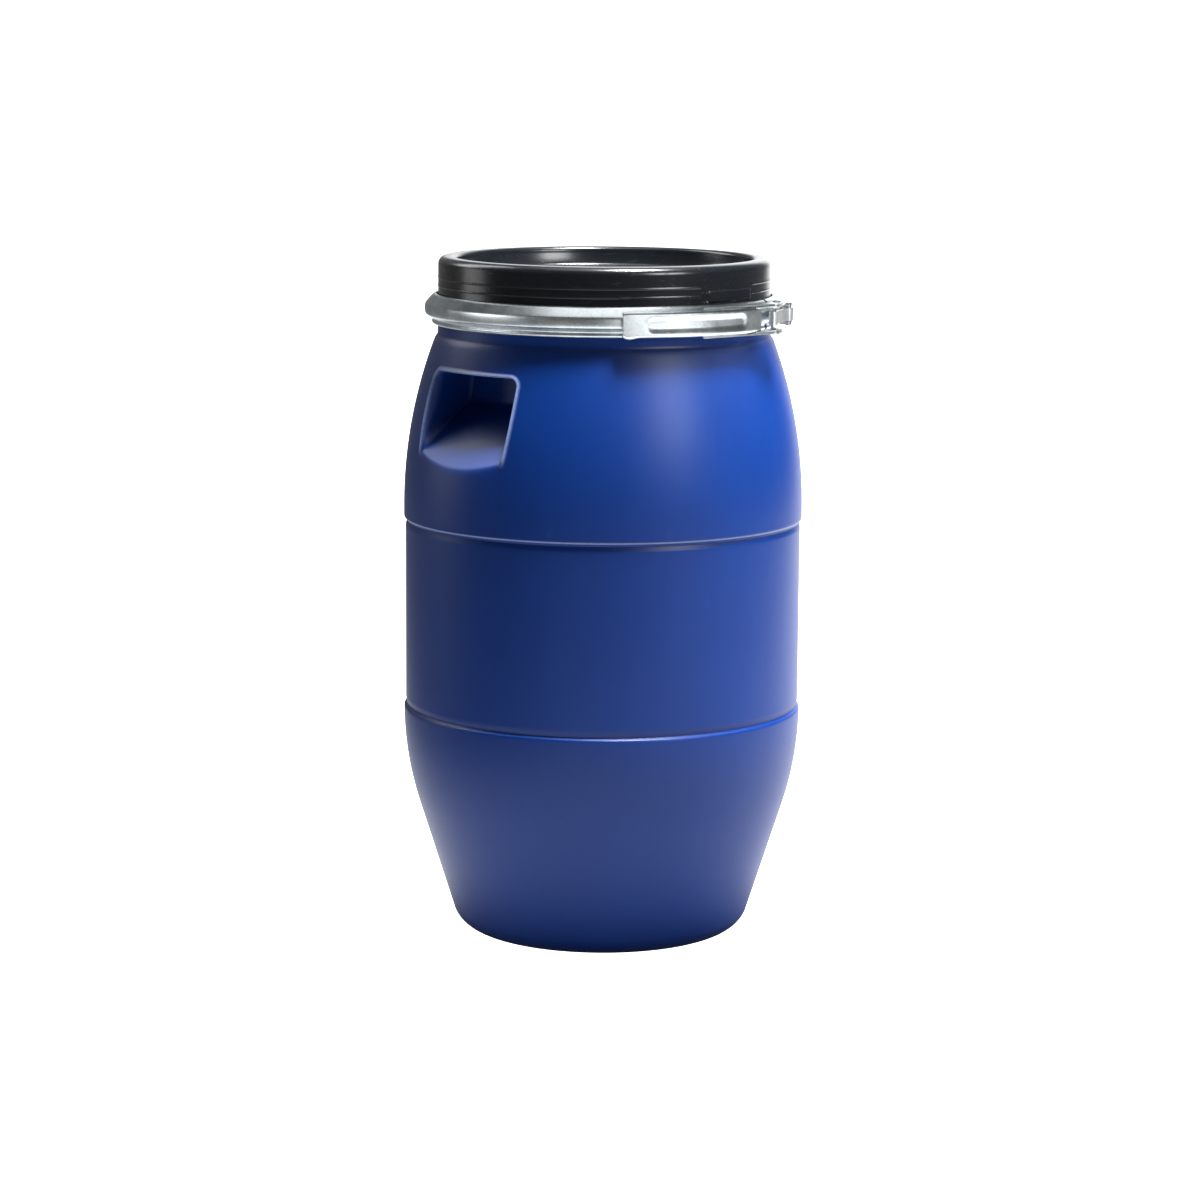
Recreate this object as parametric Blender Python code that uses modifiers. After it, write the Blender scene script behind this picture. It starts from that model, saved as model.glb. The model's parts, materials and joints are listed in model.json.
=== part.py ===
"""An open head plastic keg with its lid, seal and lever clamp ring, in metres, +Z up.

The keg stands on z = 0 with its axis on Z. A bearing is an angle about Z, counted from -Y towards +X, so
bearing 0 is the front and bearing 90 is the +X side. Every piece of the clamp takes its place from the
bearing of the lever's pivot, and every radius comes from the body's.
"""
import math

import bmesh
import bpy
from mathutils import Matrix, Vector

# ---------------------------------------------------------------------------------- driving sizes: keg
DRUM_HEIGHT = 0.584          # floor to the top of the rim
BODY_RADIUS = 0.185          # the widest part of the body
WALL = 0.0032                # blow moulded wall
NECK_INSET = 0.0314          # the neck's radius is this much under the body's
NECK_HEIGHT = 0.0265         # rim to where the shoulder starts
SHOULDER_STEP = 0.0018       # the shoulder starts this far outside the neck
BEAD_REACH = 0.0074          # the rim bead stands out this far from the neck
BEAD_HEIGHT = 0.0085
BEAD_SIDE = 0.0051           # height of the bead's upright side
BEAD_TUCK = 0.003            # the bead's lower edge is drawn in this far
BEAD_FOOT = 0.0022           # slope from the bead down to the neck
NECK_FILLET = 0.003          # slope from the neck into the shoulder
MOUTH_INSET = 0.0053         # the mouth's radius is this much under the neck's
RIM_EDGE = 0.0015            # rounding of the rim
UPPER_RIB_DROP = 0.196       # rim to the upper rib
LOWER_RIB_HEIGHT = 0.212     # floor to the lower rib
RIB_DEPTH = 0.0032           # depth of each rib's groove
RIB_WIDTH = 0.0042
BELT_INSET = 0.0016          # the belt between the ribs lies under the body's radius
BULGE_RISE = 0.011           # the body is widest this far above the upper rib
BASE_INSET = 0.073           # the foot ring's radius is this much under the body's
BASE_EDGE = 0.028            # rounding between foot and side
BASE_SLOPE = math.radians(17.6)
FOOT_WIDTH = 0.022
BASE_LIFT = 0.008            # the middle of the base is pushed up this far

# --------------------------------------------------------------------------- driving sizes: hand grips
GRIP_BEARINGS = (-47.0, 133.0)
GRIP_WIDTH = 0.110
GRIP_HEIGHT = 0.084
GRIP_DROP = 0.053            # rim to the top of the grip
GRIP_DEPTH = 0.071           # back of the grip, in from the body's widest part
GRIP_BACK = 0.031            # height of the upright back
GRIP_BULGE = 0.003           # how far the sloping floor bows up
GRIP_EDGE = 0.009            # rounding of the pocket's edges
GRIP_OVERRUN = 0.012         # how far the pocket's cutter stands outside the body

# --------------------------------------------------------------------------------- driving sizes: lid
LID_RISE = 0.046             # rim to the top of the crown
LID_WALL = 0.003
CROWN_WIDTH = 0.0165
CROWN_EDGE = 0.007           # outer rounding of the crown
CROWN_INNER_EDGE = 0.004
RECESS_DEPTH = 0.018
RECESS_DRAFT = 0.003         # lean of the recess's wall
FLANGE_RISE = 0.0093         # rim to the root of the flange
FLANGE_FILLET = 0.0012
FLANGE_SHELF = 0.0024        # the flange's slope starts this far out from the neck
FLANGE_EDGE = 0.0015         # height of the flange's outer edge
FLANGE_CORNER = 0.0008
FLANGE_PLAY = 0.0006         # flange to the ring's sheet
SKIRT_DEPTH = 0.007          # how far the lid reaches into the mouth
SKIRT_PLAY = 0.0005
SEAL_HEIGHT = 0.005
SEAL_WIDTH = 0.008
FIT = 0.0003                 # gap between pieces that touch

# -------------------------------------------------------------------------- driving sizes: clamp ring
STEEL = 0.0012               # the ring's sheet
BAND_REACH = 0.0114          # middle of the ring's face, out from the neck
BAND_RISE = 0.0116           # upper lip above the rim
BAND_FALL = 0.0151           # lower lip below the rim
BAND_PLAY = 0.0013           # lips to the neck
FACE_RISE = 0.002            # the ring's upright face, above the rim
FACE_FALL = 0.0053           # and below it
FACE_CORNER = 0.0012
ROLL_HEIGHT = 0.0037         # rolled lower lip
ROLL_BULGE = 0.0008
BAND_GAP = 0.0058            # open length between the ring's ends
PIVOT_BEARING = 64.8         # the lever's pivot
PIVOT_STANDOFF = 0.0064      # pivot to the ring's face
CRANK = 0.012                # lever pivot to the link's rivet
CATCH_SPACING = 0.039        # lever pivot to the catch pin, along the ring
GAP_OFFSET = 0.0072          # lever pivot to the middle of the ring's gap
PLATE = 0.0015               # sheet of lever and brackets
PLATE_GAP = 0.0005           # side play between the plates that turn on each other
LEVER_HEIGHT = 0.0234
LEVER_REACH = 0.178          # pivot to the free end, along the ring
LEVER_PLATE_END = 0.029      # pivot to where the lever's face ends
LEVER_STANDOFF = 0.0051      # middle of the lever's face to the ring's face
LEVER_FLANGE = 0.0028        # depth of the lever's folded edges
CLAMP_DROP = 0.003           # rim down to the middle of the lever
BRACKET_REACH = 0.100        # pivot to the bracket's far end
BRACKET_FOOT_END = 0.035     # pivot to where the bracket's foot stops
BRACKET_EDGE = 0.0026        # height of the bracket's low edge
EAR_LAP = 0.008              # the lever's ears reach this far back along its folded edges
EYE_MARGIN = 0.0026          # metal around a rivet in the lever
BRACKET_MARGIN = 0.0032      # metal around the rivet in the bracket
RIVET_RADIUS = 0.0024
RIVET_HEAD = 0.0040
RIVET_HEAD_HEIGHT = 0.0014
PIN_HEAD = 0.0032
LINK_HEIGHT = 0.012
LINK_THICKNESS = 0.002
LINK_EYE = 0.0015            # metal around a rivet in the link
CATCH_HEIGHT = 0.0176
CATCH_PLAY = 0.0033          # room beside the pin in the open catch
CATCH_CHEEK = 0.002
CATCH_ARM = 0.0042           # metal on each side of the catch's mouth
CATCH_FOOT = 0.024
CATCH_CREST = 0.0018         # the cheeks stand out this far past the pin's middle
CATCH_FLOOR = 0.0008         # room under the pin

BODY_STEPS = 48
TURN_STEPS = 60
BAND_STEPS = 26
ROUND_STEPS = 16

# -------------------------------------------------------------------------------- sizes that follow
NECK_RADIUS = BODY_RADIUS - NECK_INSET
NECK_FOOT = DRUM_HEIGHT - NECK_HEIGHT
MOUTH_RADIUS = NECK_RADIUS - MOUTH_INSET
BASE_RADIUS = BODY_RADIUS - BASE_INSET
UPPER_RIB = DRUM_HEIGHT - UPPER_RIB_DROP
BELT_RADIUS = BODY_RADIUS - BELT_INSET
BAND_FACE = NECK_RADIUS + BAND_REACH + STEEL / 2
CLAMP_MID = DRUM_HEIGHT - CLAMP_DROP
PIVOT_RADIUS = BAND_FACE + PIVOT_STANDOFF
LEVER_RADIUS = BAND_FACE + LEVER_STANDOFF
LEVER_SIDE = LEVER_HEIGHT / 2 - PLATE / 2
BRACKET_SIDE = LEVER_HEIGHT / 2 + PLATE_GAP + PLATE / 2


def bearing_of(length, radius=PIVOT_RADIUS):
    """The angle in degrees that a length along the ring takes."""
    return math.degrees(length / radius)


def at_bearing(bearing, radius):
    """A point in plan at a bearing and a radius."""
    angle = math.radians(bearing)
    return Vector((radius * math.sin(angle), -radius * math.cos(angle)))


CATCH_BEARING = PIVOT_BEARING + bearing_of(CATCH_SPACING)
GAP_BEARING = PIVOT_BEARING + bearing_of(GAP_OFFSET)
PIVOT = at_bearing(PIVOT_BEARING, PIVOT_RADIUS)
CATCH_PIN = at_bearing(CATCH_BEARING, PIVOT_RADIUS)
FLEX_POINT = at_bearing(GAP_BEARING + 180.0, BAND_FACE)
FLEX_ARM = CATCH_PIN - FLEX_POINT
PULL = Vector((-FLEX_ARM.y, FLEX_ARM.x)).normalized()
LINK_RIVET = PIVOT - CRANK * PULL


# ------------------------------------------------------------------------------------ small helpers
def clear_scene():
    for item in list(bpy.data.objects):
        bpy.data.objects.remove(item, do_unlink=True)


def new_collection(name):
    collection = bpy.data.collections.new(name)
    bpy.context.scene.collection.children.link(collection)
    return collection


clear_scene()
DRUM = new_collection("open_head_keg")
CUTTERS = new_collection("cutters")


def add_object(name, data, collection=DRUM):
    item = bpy.data.objects.new(name, data)
    collection.objects.link(item)
    return item


def make_cutter(item):
    for collection in item.users_collection:
        collection.objects.unlink(item)
    CUTTERS.objects.link(item)
    item.hide_render = True
    item.display_type = "WIRE"
    return item


def material(name, colour, roughness, metallic):
    made = bpy.data.materials.new(name)
    made.use_nodes = True
    shader = made.node_tree.nodes["Principled BSDF"]
    shader.inputs["Base Color"].default_value = (*colour, 1.0)
    shader.inputs["Roughness"].default_value = roughness
    shader.inputs["Metallic"].default_value = metallic
    return made


def mesh_from(name, build):
    """A mesh filled by a function that works on a bmesh."""
    data = bpy.data.meshes.new(name)
    work = bmesh.new()
    build(work)
    work.to_mesh(data)
    work.free()
    return data


def smooth(item, angle=30.0):
    item.data.shade_smooth()
    item.data.set_sharp_from_angle(angle=math.radians(angle))
    return item


def arc(centre, radius, start, end, steps):
    """Points (r, z) on an arc in the turning plane, angles in degrees from outwards."""
    angles = [math.radians(start + (end - start) * i / steps) for i in range(steps + 1)]
    return [(centre[0] + radius * math.cos(a), centre[1] + radius * math.sin(a)) for a in angles]


def profile_object(name, points):
    """A chain of edges in the XZ plane, the start of a turned shape."""
    data = bpy.data.meshes.new(name)
    edges = [(i, i + 1) for i in range(len(points) - 1)]
    data.from_pydata([(r, 0.0, z) for r, z in points], edges, [])
    return add_object(name, data)


def turn(item, degrees=360.0, steps=TURN_STEPS):
    screw = item.modifiers.new("turn", "SCREW")
    screw.angle = math.radians(degrees)
    screw.steps = steps
    screw.render_steps = steps
    screw.use_merge_vertices = True
    screw.merge_threshold = 0.00001
    screw.use_smooth_shade = True
    return item


def turned(name, points, steps=TURN_STEPS):
    return turn(profile_object(name, points), 360.0, steps)


def turned_sheet(name, points, start, end, thickness, steps):
    """A bent sheet: its section turned from one bearing to another, then given its thickness."""
    item = turn(profile_object(name, points), end - start, steps)
    item.rotation_euler.z = math.radians(start - 90.0)
    skin = item.modifiers.new("sheet", "SOLIDIFY")
    skin.thickness = thickness
    skin.offset = 0.0
    skin.use_even_offset = True
    return item


def box(name, size, centre):
    def build(work):
        bmesh.ops.create_cube(work, size=1.0)
        bmesh.ops.scale(work, vec=size, verts=work.verts)
        bmesh.ops.translate(work, vec=centre, verts=work.verts)
    return add_object(name, mesh_from(name, build))


def rod(name, radius, bottom, top, centre=(0.0, 0.0)):
    """An upright cylinder between two heights."""
    place = Matrix.Translation((centre[0], centre[1], (bottom + top) / 2))

    def build(work):
        bmesh.ops.create_cone(work, cap_ends=True, segments=ROUND_STEPS, radius1=radius, radius2=radius,
                              depth=top - bottom, matrix=place)
    return smooth(add_object(name, mesh_from(name, build)))


def plate(name, outline, bottom, top):
    """A flat outline in plan between two heights."""
    curve = bpy.data.curves.new(name, "CURVE")
    curve.dimensions = "2D"
    curve.fill_mode = "BOTH"
    curve.extrude = (top - bottom) / 2
    spline = curve.splines.new("POLY")
    spline.points.add(len(outline) - 1)
    for point, (x, y) in zip(spline.points, outline):
        point.co = (x, y, 0.0, 1.0)
    spline.use_cyclic_u = True
    rough = add_object(name + "_outline", curve)
    bpy.context.view_layer.update()
    data = bpy.data.meshes.new_from_object(rough.evaluated_get(bpy.context.evaluated_depsgraph_get()))
    bpy.data.objects.remove(rough)
    work = bmesh.new()
    work.from_mesh(data)
    bmesh.ops.remove_doubles(work, verts=work.verts, dist=0.00001)
    bmesh.ops.translate(work, vec=(0.0, 0.0, (bottom + top) / 2), verts=work.verts)
    bmesh.ops.recalc_face_normals(work, faces=work.faces)
    work.to_mesh(data)
    work.free()
    return add_object(name, data)


def boolean(item, other, operation):
    """Join or cut with another object, which becomes a cutter."""
    step = item.modifiers.new(other.name, "BOOLEAN")
    step.operation = operation
    step.solver = "EXACT"
    step.object = make_cutter(other)
    return item


def bevel(item, width, segments=2, angle=40.0):
    edge = item.modifiers.new("edges", "BEVEL")
    edge.width = width
    edge.segments = segments
    edge.limit_method = "ANGLE"
    edge.angle_limit = math.radians(angle)
    return item


def hang_on(item, pivot):
    """Parent a piece to an empty on its joint's axis, with its place kept."""
    item.parent = pivot
    item.location -= pivot.location


def pivot_empty(name, place, height):
    pivot = add_object(name, None)
    pivot.location = (place[0], place[1], height)
    return pivot


# ---------------------------------------------------------------------------------------- the keg body
def base_arc_radius():
    """Radius of the lower curve that meets both the side and the base's slope."""
    drop = LOWER_RIB_HEIGHT - BASE_EDGE
    slope = BASE_SLOPE
    reach = drop * math.sin(slope) + BASE_EDGE - BASE_INSET * math.cos(slope)
    return reach / (1.0 - math.cos(slope))


def shoulder_bend():
    """Height of the widest part and radius of the curve from there up to the neck."""
    widest = UPPER_RIB + BULGE_RISE
    rise = NECK_FOOT - widest
    run = BODY_RADIUS - (NECK_RADIUS + SHOULDER_STEP)
    return widest, (rise * rise + run * run) / (2.0 * run)


def shoulder_arc(inset, steps):
    """Points from the foot of the neck down to the widest part, at an inset from the outside."""
    widest, bend = shoulder_bend()
    start = math.degrees(math.asin((NECK_FOOT - widest) / bend))
    return arc((BODY_RADIUS - bend, widest), bend - inset, start, 0.0, steps)


def lower_arc(inset, steps):
    """Points from the lower rib down to the edge of the foot, at an inset from the outside."""
    slope = math.degrees(BASE_SLOPE)
    bend = base_arc_radius()
    side = arc((BODY_RADIUS - bend, LOWER_RIB_HEIGHT), bend - inset, 0.0, -slope, steps)
    edge = arc((BASE_RADIUS, BASE_EDGE), BASE_EDGE - inset, -slope, -90.0, steps)
    return side + edge


def body_outside():
    """The body's outer line from the rim down to the foot."""
    bead = NECK_RADIUS + BEAD_REACH
    rim = arc((bead - RIM_EDGE, DRUM_HEIGHT - RIM_EDGE), RIM_EDGE, 90.0, 0.0, 2)
    under_bead = [(bead, DRUM_HEIGHT - BEAD_SIDE), (bead - BEAD_TUCK, DRUM_HEIGHT - BEAD_HEIGHT),
                  (NECK_RADIUS, DRUM_HEIGHT - BEAD_HEIGHT - BEAD_FOOT)]
    neck = [(NECK_RADIUS, NECK_FOOT + NECK_FILLET)]
    upper_rib = [(BODY_RADIUS, UPPER_RIB + RIB_WIDTH / 2),
                 (BODY_RADIUS - RIB_DEPTH, UPPER_RIB - RIB_WIDTH / 4),
                 (BELT_RADIUS, UPPER_RIB - RIB_WIDTH)]
    lower_rib = [(BELT_RADIUS, LOWER_RIB_HEIGHT + RIB_WIDTH * 1.5),
                 (BODY_RADIUS - RIB_DEPTH, LOWER_RIB_HEIGHT + RIB_WIDTH / 2)]
    return rim + under_bead + neck + shoulder_arc(0.0, 7) + upper_rib + lower_rib + lower_arc(0.0, 4)


def body_inside():
    """The inner line from the middle of the floor up to the mouth."""
    floor = [(0.0, BASE_LIFT + WALL), (BASE_RADIUS - FOOT_WIDTH - WALL, BASE_LIFT + WALL),
             (BASE_RADIUS - FOOT_WIDTH + WALL, WALL)]
    side = list(reversed(lower_arc(WALL, 3)))
    shoulder = list(reversed(shoulder_arc(WALL, 4)))
    mouth = [(MOUTH_RADIUS, NECK_FOOT + NECK_FILLET), (MOUTH_RADIUS, DRUM_HEIGHT - RIM_EDGE)]
    return floor + side + shoulder + mouth + [(MOUTH_RADIUS + RIM_EDGE, DRUM_HEIGHT)]


def base_underside():
    return [(BASE_RADIUS - FOOT_WIDTH, 0.0), (BASE_RADIUS - FOOT_WIDTH - WALL, BASE_LIFT), (0.0, BASE_LIFT)]


def grip_section(grow):
    """The pocket's outline (r, z) in its middle plane, grown by the wall for the housing."""
    top = DRUM_HEIGHT - GRIP_DROP
    bottom = top - GRIP_HEIGHT
    ledge = top - GRIP_BACK
    back = BODY_RADIUS - GRIP_DEPTH
    widest, bend = shoulder_bend()
    lip = BODY_RADIUS - bend + math.sqrt(bend * bend - (bottom - widest) ** 2)
    slope = (ledge - bottom) / (lip - back)
    sink = grow * math.hypot(1.0, slope)
    outside = BODY_RADIUS + GRIP_OVERRUN
    knee = ((back + lip) / 2, (ledge + bottom) / 2 + GRIP_BULGE - sink)
    return [(outside, top + grow), (back - grow, top + grow), (back - grow, ledge - sink), knee,
            (outside, bottom - (outside - lip) * slope - sink)]


def grip_block(name, bearing, grow):
    """The pocket's prism, rounded, turned to its bearing."""
    section = grip_section(grow)
    half = GRIP_WIDTH / 2 + grow

    def build(work):
        corners = [work.verts.new((-half, -r, z)) for r, z in section]
        side = work.faces.new(corners)
        grown = bmesh.ops.extrude_face_region(work, geom=[side])
        moved = [v for v in grown["geom"] if isinstance(v, bmesh.types.BMVert)]
        bmesh.ops.translate(work, vec=(2 * half, 0.0, 0.0), verts=moved)
        bmesh.ops.recalc_face_normals(work, faces=work.faces)
    item = add_object(name, mesh_from(name, build))
    item.rotation_euler.z = math.radians(bearing)
    return bevel(item, GRIP_EDGE, segments=2, angle=25.0)


def make_drum_body():
    body = turned("drum_body", body_inside() + body_outside() + base_underside(), BODY_STEPS)
    skin = [(r - WALL / 3, z) for r, z in body_outside()]
    envelope = turned("drum_envelope", [(0.0, DRUM_HEIGHT)] + skin + [(0.0, 0.0)], BODY_STEPS)
    make_cutter(envelope)
    for number, bearing in enumerate(GRIP_BEARINGS):
        housing = grip_block(f"grip_housing_{number}", bearing, WALL)
        boolean(housing, envelope, "INTERSECT")
        boolean(body, housing, "UNION")
    for number, bearing in enumerate(GRIP_BEARINGS):
        boolean(body, grip_block(f"grip_pocket_{number}", bearing, 0.0), "DIFFERENCE")
    return body


# --------------------------------------------------------------------------------------- lid and seal
def seal_radii():
    middle = (MOUTH_RADIUS + NECK_RADIUS + BEAD_REACH) / 2
    return middle - SEAL_WIDTH / 2, middle + SEAL_WIDTH / 2


def lid_crown():
    """Top of the lid from the middle of the recess, over the crown, to the foot of its wall."""
    top = DRUM_HEIGHT + LID_RISE
    outer = NECK_RADIUS - FIT
    inner = outer - CROWN_WIDTH
    floor = top - RECESS_DEPTH
    recess = [(0.0, floor), (inner - RECESS_DRAFT, floor)]
    inner_edge = arc((inner + CROWN_INNER_EDGE, top - CROWN_INNER_EDGE), CROWN_INNER_EDGE, 180.0, 90.0, 3)
    outer_edge = arc((outer - CROWN_EDGE, top - CROWN_EDGE), CROWN_EDGE, 90.0, 0.0, 4)
    return recess + inner_edge + outer_edge


def lid_flange():
    """Outside of the flange, the seal's channel and the skirt in the mouth."""
    rim = DRUM_HEIGHT
    low, high = seal_radii()
    reach = NECK_RADIUS + BAND_REACH - STEEL - FLANGE_PLAY
    roof = rim + FIT + SEAL_HEIGHT + FIT
    skirt = MOUTH_RADIUS - SKIRT_PLAY
    root = rim + FLANGE_RISE
    edge = rim + FLANGE_EDGE
    flange = [(NECK_RADIUS - FIT, root + FLANGE_FILLET), (NECK_RADIUS + FLANGE_SHELF, root),
              (reach - FLANGE_CORNER, edge + FLANGE_CORNER), (reach, edge), (reach, rim + FIT)]
    channel = [(high + FIT, rim + FIT), (high + FIT, roof), (low - FIT, roof), (low - FIT, rim + FIT)]
    return flange + channel + [(skirt, rim + FIT), (skirt, rim - SKIRT_DEPTH)]


def lid_underside():
    """Inside of the skirt, the hollow crown and the panel's lower face."""
    top = DRUM_HEIGHT + LID_RISE - LID_WALL
    skirt = MOUTH_RADIUS - SKIRT_PLAY - LID_WALL
    outer = NECK_RADIUS - FIT - LID_WALL
    inner = NECK_RADIUS - FIT - CROWN_WIDTH + LID_WALL
    floor = DRUM_HEIGHT + LID_RISE - RECESS_DEPTH - LID_WALL
    bend = CROWN_EDGE - LID_WALL
    crown = arc((outer - bend, top - bend), bend, 0.0, 90.0, 2)
    root = DRUM_HEIGHT + FLANGE_RISE
    return [(skirt, DRUM_HEIGHT - SKIRT_DEPTH), (skirt, root - LID_WALL), (outer, root), *crown, (inner, top),
            (inner - RECESS_DRAFT, floor), (0.0, floor)]


def make_lid():
    return turned("lid", lid_crown() + lid_flange() + lid_underside())


def make_seal():
    low, high = seal_radii()
    bottom = DRUM_HEIGHT + FIT
    top = bottom + SEAL_HEIGHT
    ring = [(low, bottom), (low, top), (high, top), (high, bottom), (low, bottom)]
    return turned("lid_seal", ring)


# ----------------------------------------------------------------------------------------- clamp ring
def band_outline():
    """Middle of the ring's sheet, from the upper lip down to the rolled lower lip."""
    lip = NECK_RADIUS + BAND_PLAY
    face = NECK_RADIUS + BAND_REACH
    waist = NECK_RADIUS + BAND_REACH / 3
    top = DRUM_HEIGHT + BAND_RISE
    bottom = DRUM_HEIGHT - BAND_FALL
    groove = bottom + ROLL_HEIGHT
    high, low = DRUM_HEIGHT + FACE_RISE, DRUM_HEIGHT - FACE_FALL
    flanks = [(lip, top), (waist, top - STEEL), (face - FACE_CORNER, high + FACE_CORNER), (face, high),
              (face, low), (face - FACE_CORNER, low - FACE_CORNER)]
    roll = [(waist + ROLL_BULGE, groove + ROLL_HEIGHT / 2), (waist, groove),
            (waist + ROLL_BULGE, groove - ROLL_HEIGHT / 2), (waist, bottom), (lip, bottom)]
    return flanks + roll


def make_band(name, start, end):
    return turned_sheet(name, band_outline(), start, end, STEEL, BAND_STEPS)


def make_bands():
    half_gap = bearing_of(BAND_GAP / 2, BAND_FACE)
    seam = bearing_of(FIT / 2, BAND_FACE)
    left = make_band("clamp_band_left", GAP_BEARING - 180.0 + seam, GAP_BEARING - half_gap)
    right = make_band("clamp_band_right", GAP_BEARING + half_gap, GAP_BEARING + 180.0 - seam)
    return left, right


def arc_in_plan(radius, start, end, steps):
    return [at_bearing(start + (end - start) * i / steps, radius) for i in range(steps + 1)]


def lobe(centre, radius, start, end, steps=8):
    """A rounded end in plan, angles as bearings about its own centre."""
    return [centre + at_bearing(start + (end - start) * i / steps, radius) for i in range(steps + 1)]


def cut_hole(item, name, radius, centre):
    drill = rod(name, radius, CLAMP_MID - LEVER_HEIGHT, CLAMP_MID + LEVER_HEIGHT, centre)
    return boolean(item, drill, "DIFFERENCE")


def ear_outline(inner, outer, start, margin):
    """A side plate in plan: a strip along the ring that widens to a lobe around each rivet."""
    reach = RIVET_RADIUS + FIT + margin
    low = arc_in_plan(inner, start, PIVOT_BEARING - bearing_of(reach), 6)
    end = lobe(PIVOT, reach, PIVOT_BEARING + 180.0, PIVOT_BEARING, 8)
    rivet_bearing = math.degrees(math.atan2(LINK_RIVET.x, -LINK_RIVET.y))
    crest = lobe(LINK_RIVET, reach, rivet_bearing + 10.0, rivet_bearing - 50.0, 4)
    return low[:-1] + end + crest + [at_bearing(start, outer)]


def make_lever():
    """A folded channel whose two edges run on as ears to the pivot."""
    free_end = PIVOT_BEARING - bearing_of(LEVER_REACH)
    face_end = PIVOT_BEARING - bearing_of(LEVER_PLATE_END)
    inner = LEVER_RADIUS - LEVER_FLANGE
    top, bottom = CLAMP_MID + LEVER_SIDE, CLAMP_MID - LEVER_SIDE
    channel = [(inner, top), (LEVER_RADIUS, top), (LEVER_RADIUS, bottom), (inner, bottom)]
    lever = turned_sheet("lever", channel, free_end, face_end, PLATE, 14)
    outline = ear_outline(inner, LEVER_RADIUS + PLATE / 2, face_end - bearing_of(EAR_LAP), EYE_MARGIN)
    for side, height in (("upper", top), ("lower", bottom)):
        ear = plate(f"lever_ear_{side}", outline, height - PLATE / 2, height + PLATE / 2)
        boolean(lever, ear, "UNION")
    cut_hole(lever, "lever_pivot_hole", RIVET_RADIUS + FIT, PIVOT)
    return cut_hole(lever, "lever_link_hole", RIVET_RADIUS + FIT, LINK_RIVET)


def make_fulcrum_bracket():
    """A channel on the ring's left end whose sides hold the lever's pivot."""
    start = PIVOT_BEARING - bearing_of(BRACKET_REACH)
    foot_end = PIVOT_BEARING - bearing_of(BRACKET_FOOT_END)
    foot = BAND_FACE + FIT + PLATE / 2
    rise = CLAMP_MID + BRACKET_SIDE
    fall = CLAMP_MID - BRACKET_SIDE
    bracket = turned_sheet("fulcrum_bracket", [(foot, rise), (foot, fall)], start, foot_end, PLATE, 8)
    inner = foot - PLATE / 2
    outline = ear_outline(inner, inner + BRACKET_EDGE, start, BRACKET_MARGIN)
    for side, height in (("upper", rise), ("lower", fall)):
        ear = plate(f"bracket_ear_{side}", outline, height - PLATE / 2, height + PLATE / 2)
        boolean(bracket, ear, "UNION")
    return cut_hole(bracket, "bracket_pivot_hole", RIVET_RADIUS + FIT, PIVOT)


def make_fulcrum_rivet(name, side):
    """A stub rivet through one ear of the bracket and one of the lever, with its head outside."""
    inner = LEVER_HEIGHT / 2 - PLATE
    outer = BRACKET_SIDE + PLATE / 2 + FIT
    tip = outer + RIVET_HEAD_HEIGHT
    heights = sorted((CLAMP_MID + side * inner, CLAMP_MID + side * (outer + tip) / 2))
    head_heights = sorted((CLAMP_MID + side * outer, CLAMP_MID + side * tip))
    rivet = rod(name, RIVET_RADIUS, *heights, PIVOT)
    return boolean(rivet, rod(name + "_head", RIVET_HEAD, *head_heights, PIVOT), "UNION")


def make_link_rivet():
    """The rivet between the lever's ears that the link turns on."""
    half = LEVER_HEIGHT / 2
    return rod("link_rivet", RIVET_RADIUS, CLAMP_MID - half, CLAMP_MID + half, LINK_RIVET)


def make_draw_link():
    """A strap with an eye at each end, from the lever's rivet to the catch pin."""
    span = CATCH_PIN - LINK_RIVET
    middle = (CATCH_PIN + LINK_RIVET) / 2
    bottom, top = CLAMP_MID - LINK_HEIGHT / 2, CLAMP_MID + LINK_HEIGHT / 2
    link = box("draw_link", (span.length, LINK_THICKNESS, LINK_HEIGHT), (0.0, 0.0, 0.0))
    link.location = (middle.x, middle.y, CLAMP_MID)
    link.rotation_euler.z = math.atan2(span.y, span.x)
    eye = RIVET_RADIUS + FIT + LINK_EYE
    for name, centre in (("link_eye_lever", LINK_RIVET), ("link_eye_catch", CATCH_PIN)):
        boolean(link, rod(name, eye, bottom, top, centre), "UNION")
    for name, centre in (("link_bore_lever", LINK_RIVET), ("link_bore_catch", CATCH_PIN)):
        boolean(link, rod(name, RIVET_RADIUS + FIT, bottom - FIT, top + FIT, centre), "DIFFERENCE")
    return link


def make_catch_pin():
    """The pin through the link's far eye, headed at both ends."""
    reach = CATCH_HEIGHT / 2 + PLATE_GAP
    shank = reach + RIVET_HEAD_HEIGHT / 2
    pin = rod("catch_pin", RIVET_RADIUS, CLAMP_MID - shank, CLAMP_MID + shank, CATCH_PIN)
    for name, start in (("catch_pin_foot", -reach - RIVET_HEAD_HEIGHT), ("catch_pin_head", reach)):
        head = rod(name, PIN_HEAD, CLAMP_MID + start, CLAMP_MID + start + RIVET_HEAD_HEIGHT, CATCH_PIN)
        boolean(pin, head, "UNION")
    return pin


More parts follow.
